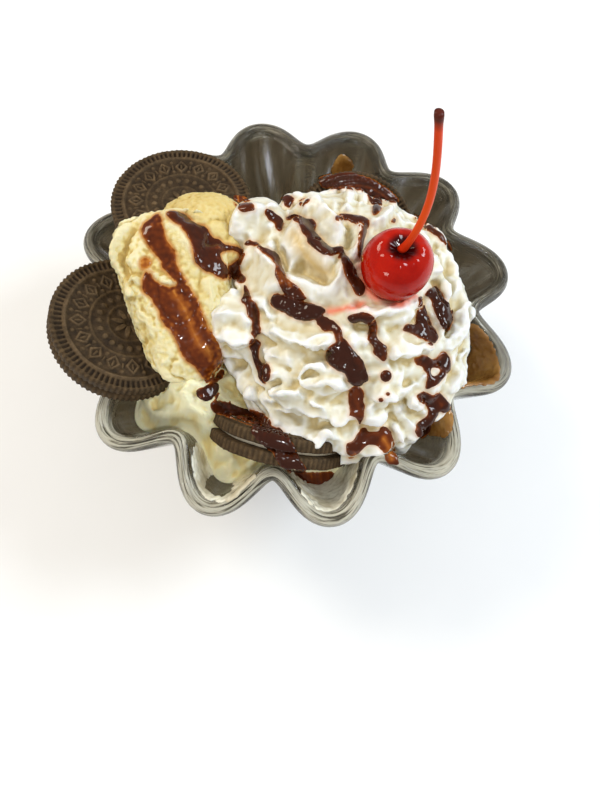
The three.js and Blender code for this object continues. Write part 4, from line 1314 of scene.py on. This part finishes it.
def sheet_faces(place, valid):
    """The faces of a closed sheet over a grid: its top, its underside, and its edge all round."""
    count = int(valid.sum())
    number = np.full(valid.shape, -1)
    number[valid] = np.arange(count)
    faces = []
    border = {}
    for i, j in np.ndindex(valid.shape[0] - 1, valid.shape[1] - 1):
        ring = [(i, j), (i + 1, j), (i + 1, j + 1), (i, j + 1)]
        if not all(valid[spot] for spot in ring):
            continue
        corners = np.array([place[spot] for spot in ring])
        if max(np.linalg.norm(corners - np.roll(corners, 1, axis=0), axis=1)) > POOL_TEAR:
            continue
        a, b, c, d = (int(number[spot]) for spot in ring)
        faces += [(d, c, b, a), (a + count, b + count, c + count, d + count)]
        for start, end in ((a, b), (b, c), (c, d), (d, a)):
            if (end, start) in border:
                del border[(end, start)]
            else:
                border[(start, end)] = True
    faces += [(start, end, end + count, start + count) for start, end in border]
    return faces


def pool_mesh(tree, name, thick, outline, seed):
    """A closed film over what the camera sees: smooth on top, round at its edge, and sunk in below."""
    low = np.min(outline, axis=0) - 2
    high = np.max(outline, axis=0) + 2
    axes = [np.arange(*ends, POOL_STEP) for ends in zip(low, high)]
    grid = np.stack(np.meshgrid(*axes, indexing="ij"), axis=-1)
    shape = grid.shape[:2]
    spots = grid.reshape(-1, 2)
    flat = np.column_stack([spots, np.zeros(len(spots))])
    sway = [0.8 * rough_noise(flat, 7, 2, sway_seed) + 0.5 * rough_noise(flat, 3, 1, sway_seed + 5)
            for sway_seed in (72, 75)]
    edge = depth_in_film(spots + np.stack(sway, axis=1), name, outline).reshape(shape) + SPREAD
    place, normal, valid = project_grid(tree, grid, edge > 0)
    rise = POOL_SWELL * thick * np.sqrt(1 - (1 - np.clip((edge + 0.3) / 7, 0, 1)) ** 2)
    rise *= 1 + 0.22 * rough_noise(flat, 9, 2, seed=seed + 90).reshape(shape)
    upper = smoothed_grid(place, valid) + normal * rise[..., None]
    lower = place - POOL_SINK * normal
    return np.vstack([upper[valid], lower[valid]]), sheet_faces(place, valid)


def make_sauce(tree):
    parts = [pool_mesh(tree, name, *pool, seed) for seed, (name, pool) in enumerate(POOLS.items())]
    for pixel, half in DROPS.values():
        hit = ray_hit(tree, pixel)
        if hit:
            parts.append(blob(*hit, half / pixels_per_mm(hit[0]), DROP_FLATNESS))
    piece = mesh_object("chocolate_sauce", *join_meshes(parts))
    remesh(piece, SAUCE_VOXEL, smooth=3)
    place = vertices_of(piece)
    depth = np.array([tree.find_nearest(Vector(p))[3] for p in place])
    pixels = to_pixel(place) + 1.2 * rough_noise(place, 3, 2, seed=95)[:, None]
    thin = np.zeros(len(place))
    for route in THIN_PLACES.values():
        thin = np.maximum(thin, stroke_relief(pixels, *route))
    thin = np.clip(thin + 0.16 * rough_noise(place, 5, 2, seed=96), 0, 1)
    set_attribute(piece, "depth", np.clip(depth, 0, 1) * (1 - 0.9 * thin))
    dress(piece, "sauce")
    return piece


def mark_soaked(pieces, sauce):
    """Marks how near the sauce each place of the food is."""
    tree = surface_tree([sauce])
    for piece in pieces:
        found = [tree.find_nearest(Vector(p), SOAK_REACH)[3] for p in vertices_of(piece)]
        apart = np.array([SOAK_REACH if d is None else d for d in found])
        set_attribute(piece, "soaked", smoothstep(SOAK_REACH, 0.1, apart))


# Materials

def principled(name, sockets):
    """A material whose shader has these numbers and colours set on its sockets."""
    material = bpy.data.materials.new(name)
    material.use_nodes = True
    tree = material.node_tree
    shader = tree.nodes["Principled BSDF"]
    for socket, value in sockets.items():
        shader.inputs[socket].default_value = value
    return material, tree, shader


def attribute_node(tree, name, output="Fac"):
    node = tree.nodes.new("ShaderNodeAttribute")
    node.attribute_name = name
    return node.outputs[output]


def noise_at(tree, place, detail, roughness):
    """A noise texture of one wave for each unit of a place."""
    noise = tree.nodes.new("ShaderNodeTexNoise")
    noise.inputs["Scale"].default_value = 1.0
    noise.inputs["Detail"].default_value = detail
    noise.inputs["Roughness"].default_value = roughness
    tree.links.new(place, noise.inputs["Vector"])
    return noise.outputs["Fac"]


def noise_node(tree, scale, detail=4.0, roughness=0.55, stretch=(1, 1, 1)):
    """A noise texture in the object's own place, its scale in waves for each millimetre."""
    where = tree.nodes.new("ShaderNodeTexCoord")
    mapping = tree.nodes.new("ShaderNodeMapping")
    mapping.inputs["Scale"].default_value = tuple(scale / MM * s for s in stretch)
    tree.links.new(where.outputs["Object"], mapping.inputs["Vector"])
    return noise_at(tree, mapping.outputs["Vector"], detail, roughness)


def ramp_node(tree, source, stops):
    """Colours by a value: a list of (place, (r, g, b))."""
    ramp = tree.nodes.new("ShaderNodeValToRGB")
    elements = ramp.color_ramp.elements
    while len(elements) < len(stops):
        elements.new(0.5)
    for element, (place, colour) in zip(elements, stops):
        element.position = place
        element.color = (*colour, 1)
    tree.links.new(source, ramp.inputs["Fac"])
    return ramp.outputs["Color"]


def mix_node(tree, factor, a, b, blend="MIX"):
    mix = tree.nodes.new("ShaderNodeMix")
    mix.data_type = "RGBA"
    mix.blend_type = blend
    for socket, value in ((mix.inputs["Factor"], factor), (mix.inputs[6], a), (mix.inputs[7], b)):
        if isinstance(value, bpy.types.NodeSocket):
            tree.links.new(value, socket)
        elif isinstance(value, tuple):
            socket.default_value = (*value, 1)
        else:
            socket.default_value = value
    return mix.outputs[2]


def paint(tree, shader, colour):
    tree.links.new(colour, shader.inputs["Base Color"])


def bump_node(tree, shader, height, strength, distance):
    bump = tree.nodes.new("ShaderNodeBump")
    bump.inputs["Strength"].default_value = strength
    bump.inputs["Distance"].default_value = distance * MM
    tree.links.new(height, bump.inputs["Height"])
    tree.links.new(bump.outputs["Normal"], shader.inputs["Normal"])


def mottled_material(name, sockets, scale, detail, stops):
    """A material whose colour wanders between its stops."""
    material, tree, shader = principled(name, sockets)
    paint(tree, shader, ramp_node(tree, noise_node(tree, scale, detail), stops))
    return material, tree, shader


def glass_material():
    material, tree, shader = principled("pressed_glass_painted_dark", {"IOR": 1.45, "Roughness": 0.04})
    rim = attribute_node(tree, "rim")
    lip_streaks = noise_at(tree, attribute_node(tree, "lip_streaks", "Vector"), 5, 0.6)
    fold = noise_at(tree, attribute_node(tree, "fold", "Vector"), 4, 0.55)
    # The clear glass's wall is painted dark, as shade and reflection of dark surroundings, with lighter
    # painted reflection streaks, and lighter towards the foot.
    body = ramp_node(tree, fold, [
        (0.30, (0.034, 0.026, 0.014)), (0.50, (0.075, 0.058, 0.036)), (0.59, (0.11, 0.098, 0.075)),
        (0.65, (0.22, 0.22, 0.24)), (0.72, (0.36, 0.36, 0.38))])
    body = mix_node(tree, attribute_node(tree, "foot"), body, (0.42, 0.38, 0.31))
    # The lip's light, dark and white streaks are painted reflections and glints.
    lip = ramp_node(tree, lip_streaks, [
        (0.32, (0.03, 0.028, 0.020)), (0.41, (0.18, 0.16, 0.11)), (0.47, (0.72, 0.68, 0.54)),
        (0.57, (0.86, 0.83, 0.69)), (0.63, (0.30, 0.28, 0.20)), (0.70, (1.0, 1.0, 0.95))])
    # A darker copy of the lip's colours, for its painted shade round the back and on the right.
    dark_lip = ramp_node(tree, lip_streaks, [
        (0.32, (0.020, 0.017, 0.010)), (0.44, (0.075, 0.062, 0.040)), (0.55, (0.17, 0.15, 0.105)),
        (0.61, (0.34, 0.31, 0.23)), (0.64, (0.10, 0.085, 0.055)), (0.69, (0.95, 0.93, 0.84))])
    shaded = mix_node(tree, attribute_node(tree, "lip_painted_shade"), lip, dark_lip)
    # Painted dark reflection lines along the lip.
    lined = mix_node(tree, attribute_node(tree, "lip_reflection_lines"), shaded, (0.03, 0.028, 0.020))
    paint(tree, shader, mix_node(tree, rim, body, lined))
    # The rim lets less light through, so its painted reflections show.
    clear = tree.nodes.new("ShaderNodeMapRange")
    clear.inputs["To Min"].default_value = 1.0
    clear.inputs["To Max"].default_value = 0.4
    tree.links.new(rim, clear.inputs["Value"])
    tree.links.new(clear.outputs["Result"], shader.inputs["Transmission Weight"])
    bump_node(tree, shader, lip_streaks, 0.7, 1.4)
    return material


def melt_material():
    material, tree, shader = mottled_material(
        "melted_ice_cream",
        {"Roughness": 0.25, "Specular IOR Level": 0.3, "Transmission Weight": 0.08},
        0.12, 4, [(0.40, (0.60, 0.53, 0.38)), (0.58, (1.0, 0.98, 0.84))])
    bump_node(tree, shader, noise_node(tree, 0.5, 3), 0.3, 0.4)
    return material


def film_material():
    material, tree, shader = mottled_material(
        "thin_sauce_film",
        {"Roughness": 0.15, "Specular IOR Level": 0.2, "Transmission Weight": 0.3, "Coat Weight": 0.3},
        0.12, 4, [(0.35, (0.28, 0.11, 0.020)), (0.65, (0.60, 0.31, 0.08))])
    bump_node(tree, shader, noise_node(tree, 0.4, 3), 0.25, 0.4)
    return material


def ice_cream_material(name, light, middle, shade):
    """One kind of ice cream, with its colours on a crest, between, and in a pit: painted light on a crest and
    painted shade in a pit.
    """
    material, tree, shader = principled(name, {
        "Roughness": 0.55, "Specular IOR Level": 0.25,
        "Subsurface Weight": 0.2, "Subsurface Radius": (1.0, 0.7, 0.35), "Subsurface Scale": 1.0 * MM})
    # Painted shade: darker and yellower in the hollows, lighter on the crests.
    hollow = ramp_node(tree, attribute_node(tree, "hollow"), [(0.22, light), (0.50, middle), (0.80, shade)])
    blotch = ramp_node(tree, noise_node(tree, 0.09, 5), [(0.35, (0.90, 0.84, 0.68)), (0.65, (1.0, 1.0, 1.0))])
    tinted = mix_node(tree, 0.6, hollow, blotch, "MULTIPLY")
    paint(tree, shader, mix_node(tree, attribute_node(tree, "soaked"), tinted, (0.55, 0.25, 0.06)))
    bump_node(tree, shader, noise_node(tree, 1.3, 5, 0.7), 0.8, 0.5)
    return material


def cream_material():
    material, tree, shader = principled("whipped_cream_white", {
        "Roughness": 0.38, "Specular IOR Level": 0.35,
        "Subsurface Weight": 0.2, "Subsurface Radius": (1.0, 0.85, 0.6), "Subsurface Scale": 1.0 * MM})
    # Painted shade: darker and yellower in the cream's hollows, lightest on its crests.
    colour = ramp_node(tree, attribute_node(tree, "hollow"), [
        (0.20, (0.84, 0.84, 0.81)), (0.50, (0.74, 0.71, 0.57)), (0.85, (0.58, 0.47, 0.24))])
    # Painted yellowish shade in the trough.
    colour = mix_node(tree, attribute_node(tree, "tan"), colour, (0.62, 0.46, 0.21))
    soak = tree.nodes.new("ShaderNodeMath")
    soak.operation = "MULTIPLY"
    soak.inputs[1].default_value = 0.45
    tree.links.new(attribute_node(tree, "soaked"), soak.inputs[0])
    soaked = mix_node(tree, soak.outputs[0], colour, (0.66, 0.38, 0.18))
    paint(tree, shader, mix_node(tree, attribute_node(tree, "stain"), soaked, (0.82, 0.22, 0.13)))
    bump_node(tree, shader, noise_node(tree, 0.5, 4, 0.55), 0.25, 0.5)
    return material


def wafer_material():
    material, tree, shader = principled("dark_cocoa_wafer", {"Roughness": 0.7, "Specular IOR Level": 0.2})
    speckle = ramp_node(tree, noise_node(tree, 0.45, 6, 0.75), [
        (0.30, (0.4, 0.4, 0.4)), (0.50, (0.85, 0.85, 0.85)), (0.75, (1.5, 1.5, 1.5))])
    # Painted shade in the recesses and notches, painted light on the raised parts.
    relief = ramp_node(tree, attribute_node(tree, "relief"), [
        (0.10, (0.034, 0.019, 0.008)), (0.50, (0.088, 0.054, 0.024)), (0.85, (0.128, 0.082, 0.042))])
    paint(tree, shader, mix_node(tree, 1.0, relief, speckle, "MULTIPLY"))
    bump_node(tree, shader, noise_node(tree, 1.6, 5, 0.7), 0.6, 0.25)
    return material


def filling_material():
    material, tree, shader = mottled_material(
        "cookie_cream_layer", {"Roughness": 0.55},
        0.4, 4, [(0.3, (0.55, 0.47, 0.32)), (0.7, (0.72, 0.65, 0.50))])
    bump_node(tree, shader, noise_node(tree, 1.2, 4), 0.4, 0.3)
    return material


def cherry_material():
    material, tree, shader = principled("candied_cherry_skin", {
        "Roughness": 0.12, "Specular IOR Level": 0.05, "Coat Weight": 0.35, "Coat Roughness": 0.03,
        "Subsurface Weight": 0.12, "Subsurface Radius": (1.0, 0.12, 0.08), "Subsurface Scale": 3 * MM})
    colour = ramp_node(tree, noise_node(tree, 0.09, 4), [
        (0.35, (0.31, 0.004, 0.001)), (0.65, (0.48, 0.011, 0.002))])
    # The dimple is painted near black, as shade.
    paint(tree, shader, mix_node(tree, attribute_node(tree, "pit"), colour, (0.035, 0.001, 0.001)))
    bump_node(tree, shader, noise_node(tree, 0.22, 3, 0.5), 0.35, 0.9)
    return material


def stem_material():
    material, tree, shader = principled("cherry_stalk_red", {"Roughness": 0.35, "Specular IOR Level": 0.12})
    where = tree.nodes.new("ShaderNodeTexCoord")
    split = tree.nodes.new("ShaderNodeSeparateXYZ")
    tree.links.new(where.outputs["Generated"], split.inputs["Vector"])
    paint(tree, shader, ramp_node(tree, split.outputs["Z"], [
        (0.0, (0.55, 0.020, 0.003)), (0.25, (0.74, 0.075, 0.006)), (0.9, (0.66, 0.050, 0.005)),
        (0.97, (0.09, 0.015, 0.008))]))
    bump_node(tree, shader, noise_node(tree, 0.8, 3, 0.5, (1, 1, 0.1)), 0.3, 0.2)
    return material


def sauce_material():
    material, tree, shader = principled("chocolate_sauce_gloss", {
        "Roughness": 0.2, "Specular IOR Level": 0.05, "Coat Weight": 0.45, "Coat Roughness": 0.05})
    paint(tree, shader, ramp_node(tree, attribute_node(tree, "depth"), [
        (0.04, (0.46, 0.17, 0.026)), (0.12, (0.29, 0.078, 0.010)), (0.28, (0.13, 0.025, 0.004)),
        (0.50, (0.068, 0.013, 0.003)), (0.90, (0.036, 0.009, 0.004))]))
    bump_node(tree, shader, noise_node(tree, 0.4, 2, 0.5), 0.12, 0.3)
    return material


def floor_material():
    material, _, _ = mottled_material(
        "pale_floor", {"Roughness": 0.8}, 0.02, 3, [(0.3, (0.90, 0.90, 0.90)), (0.7, (0.92, 0.92, 0.92))])
    return material


MATERIALS = {
    "glass": glass_material(),
    "melt": melt_material(),
    "film": film_material(),
    "ice_cream": ice_cream_material(
        "vanilla_ice_cream", (0.84, 0.77, 0.49), (0.78, 0.66, 0.30), (0.58, 0.41, 0.13)),
    # A darker, yellower copy for the rear scoop, as painted shade.
    "shaded_ice_cream": ice_cream_material(
        "vanilla_ice_cream_painted_shade", (0.77, 0.63, 0.29), (0.72, 0.55, 0.20), (0.50, 0.34, 0.09)),
    # A lighter copy for the ice cream in the bowl, as painted light where it lies in shade.
    "bowl_ice_cream_painted_light": ice_cream_material(
        "bowl_ice_cream_painted_light", (0.99, 0.95, 0.66), (0.97, 0.89, 0.52), (0.90, 0.77, 0.38)),
    "cream": cream_material(),
    "wafer": wafer_material(),
    "filling": filling_material(),
    "cherry": cherry_material(),
    "stem": stem_material(),
    "sauce": sauce_material(),
    "floor": floor_material(),
}


# Studio

# Each lamp's place and size in metres, its power in watts, and its colour.
LAMPS = {
    "key": ((0.55, 0.12, 0.52), 0.26, 3.3, (0.84, 0.93, 1.0)),
    "warm_side": ((-0.50, 0.30, 0.60), 0.30, 3.2, (1.0, 0.91, 0.76)),
    "low_front": ((-0.40, -0.50, 0.34), 0.14, 0.8, (1.0, 0.96, 0.86)),
    "glint": ((0.12, -0.35, 0.80), 0.06, 1.9, (1, 1, 1)),
}
LAMPS_AIM = Vector((0, 0, 0.07))
WORLD_STRENGTH = 0.36
FLOOR_HALF = 3000
FLOOR_DROP = 0.05


def make_camera():
    data = bpy.data.cameras.new("camera")
    data.sensor_width = SENSOR
    data.lens = SENSOR * FOCAL_PIXELS / max(IMAGE_SIZE)
    data.clip_start = 0.01
    camera = bpy.data.objects.new("camera", data)
    turn = Matrix((CAMERA_RIGHT, CAMERA_UP, -CAMERA_FORWARD)).transposed().to_4x4()
    camera.matrix_world = Matrix.Translation(Vector(CAMERA_PLACE * MM)) @ turn
    bpy.context.scene.collection.objects.link(camera)
    bpy.context.scene.camera = camera


def make_studio():
    corners = [(x * FLOOR_HALF, y * FLOOR_HALF, -FLOOR_DROP) for x, y in ((-1, -1), (1, -1), (1, 1), (-1, 1))]
    floor = mesh_object("floor", corners, [(0, 1, 2, 3)])
    dress(floor, "floor")
    for name, (place, size, power, colour) in LAMPS.items():
        data = bpy.data.lights.new(name, "AREA")
        data.shape = "DISK"
        data.size = size
        data.energy = power
        data.color = colour
        lamp = bpy.data.objects.new(name, data)
        lamp.location = place
        lamp.rotation_euler = (LAMPS_AIM - Vector(place)).to_track_quat("-Z", "Y").to_euler()
        bpy.context.scene.collection.objects.link(lamp)
    world = bpy.data.worlds.new("studio")
    world.use_nodes = True
    background = world.node_tree.nodes["Background"]
    background.inputs["Color"].default_value = (1, 1, 1, 1)
    background.inputs["Strength"].default_value = WORLD_STRENGTH
    bpy.context.scene.world = world
    bpy.context.scene.view_settings.view_transform = "Standard"


def main():
    make_camera()
    make_studio()

    dish = make_dish()
    dress(dish, "glass")
    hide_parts("glass_dish")
    fill = make_fill()
    dress(fill, "bowl_ice_cream_painted_light")
    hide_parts("ice_cream_base")
    cookies = make_cookies()
    grown_dish = mesh_object("dish_cutter", *dish_mesh(grow=DISH_CLEARANCE, segments=16 * LOBES))
    cutters = [cookie_cutter(cookie) for cookie in COOKIES.values()] + [grown_dish]
    scoops = make_scoops(cutters)
    cream = make_cream(cutters)
    cherry = make_cherry()
    stem = make_stem()
    for cutter in cutters:
        bpy.data.objects.remove(cutter)
    sauce = make_sauce(surface_tree([cream, fill, *scoops, *cookies, cherry, dish]))
    mark_soaked([cream, *scoops], sauce)
    glass_tree = surface_tree([dish])
    melt = make_film("melted_ice_cream_film", MELT_FILMS, glass_tree, "melt")
    film = make_film("thin_chocolate_film", SAUCE_FILMS, glass_tree, "film")
    for piece in [dish, fill, *cookies, *scoops, cream, cherry, stem, sauce, melt, film]:
        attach(piece, "root")


main()
bpy.context.view_layer.update()
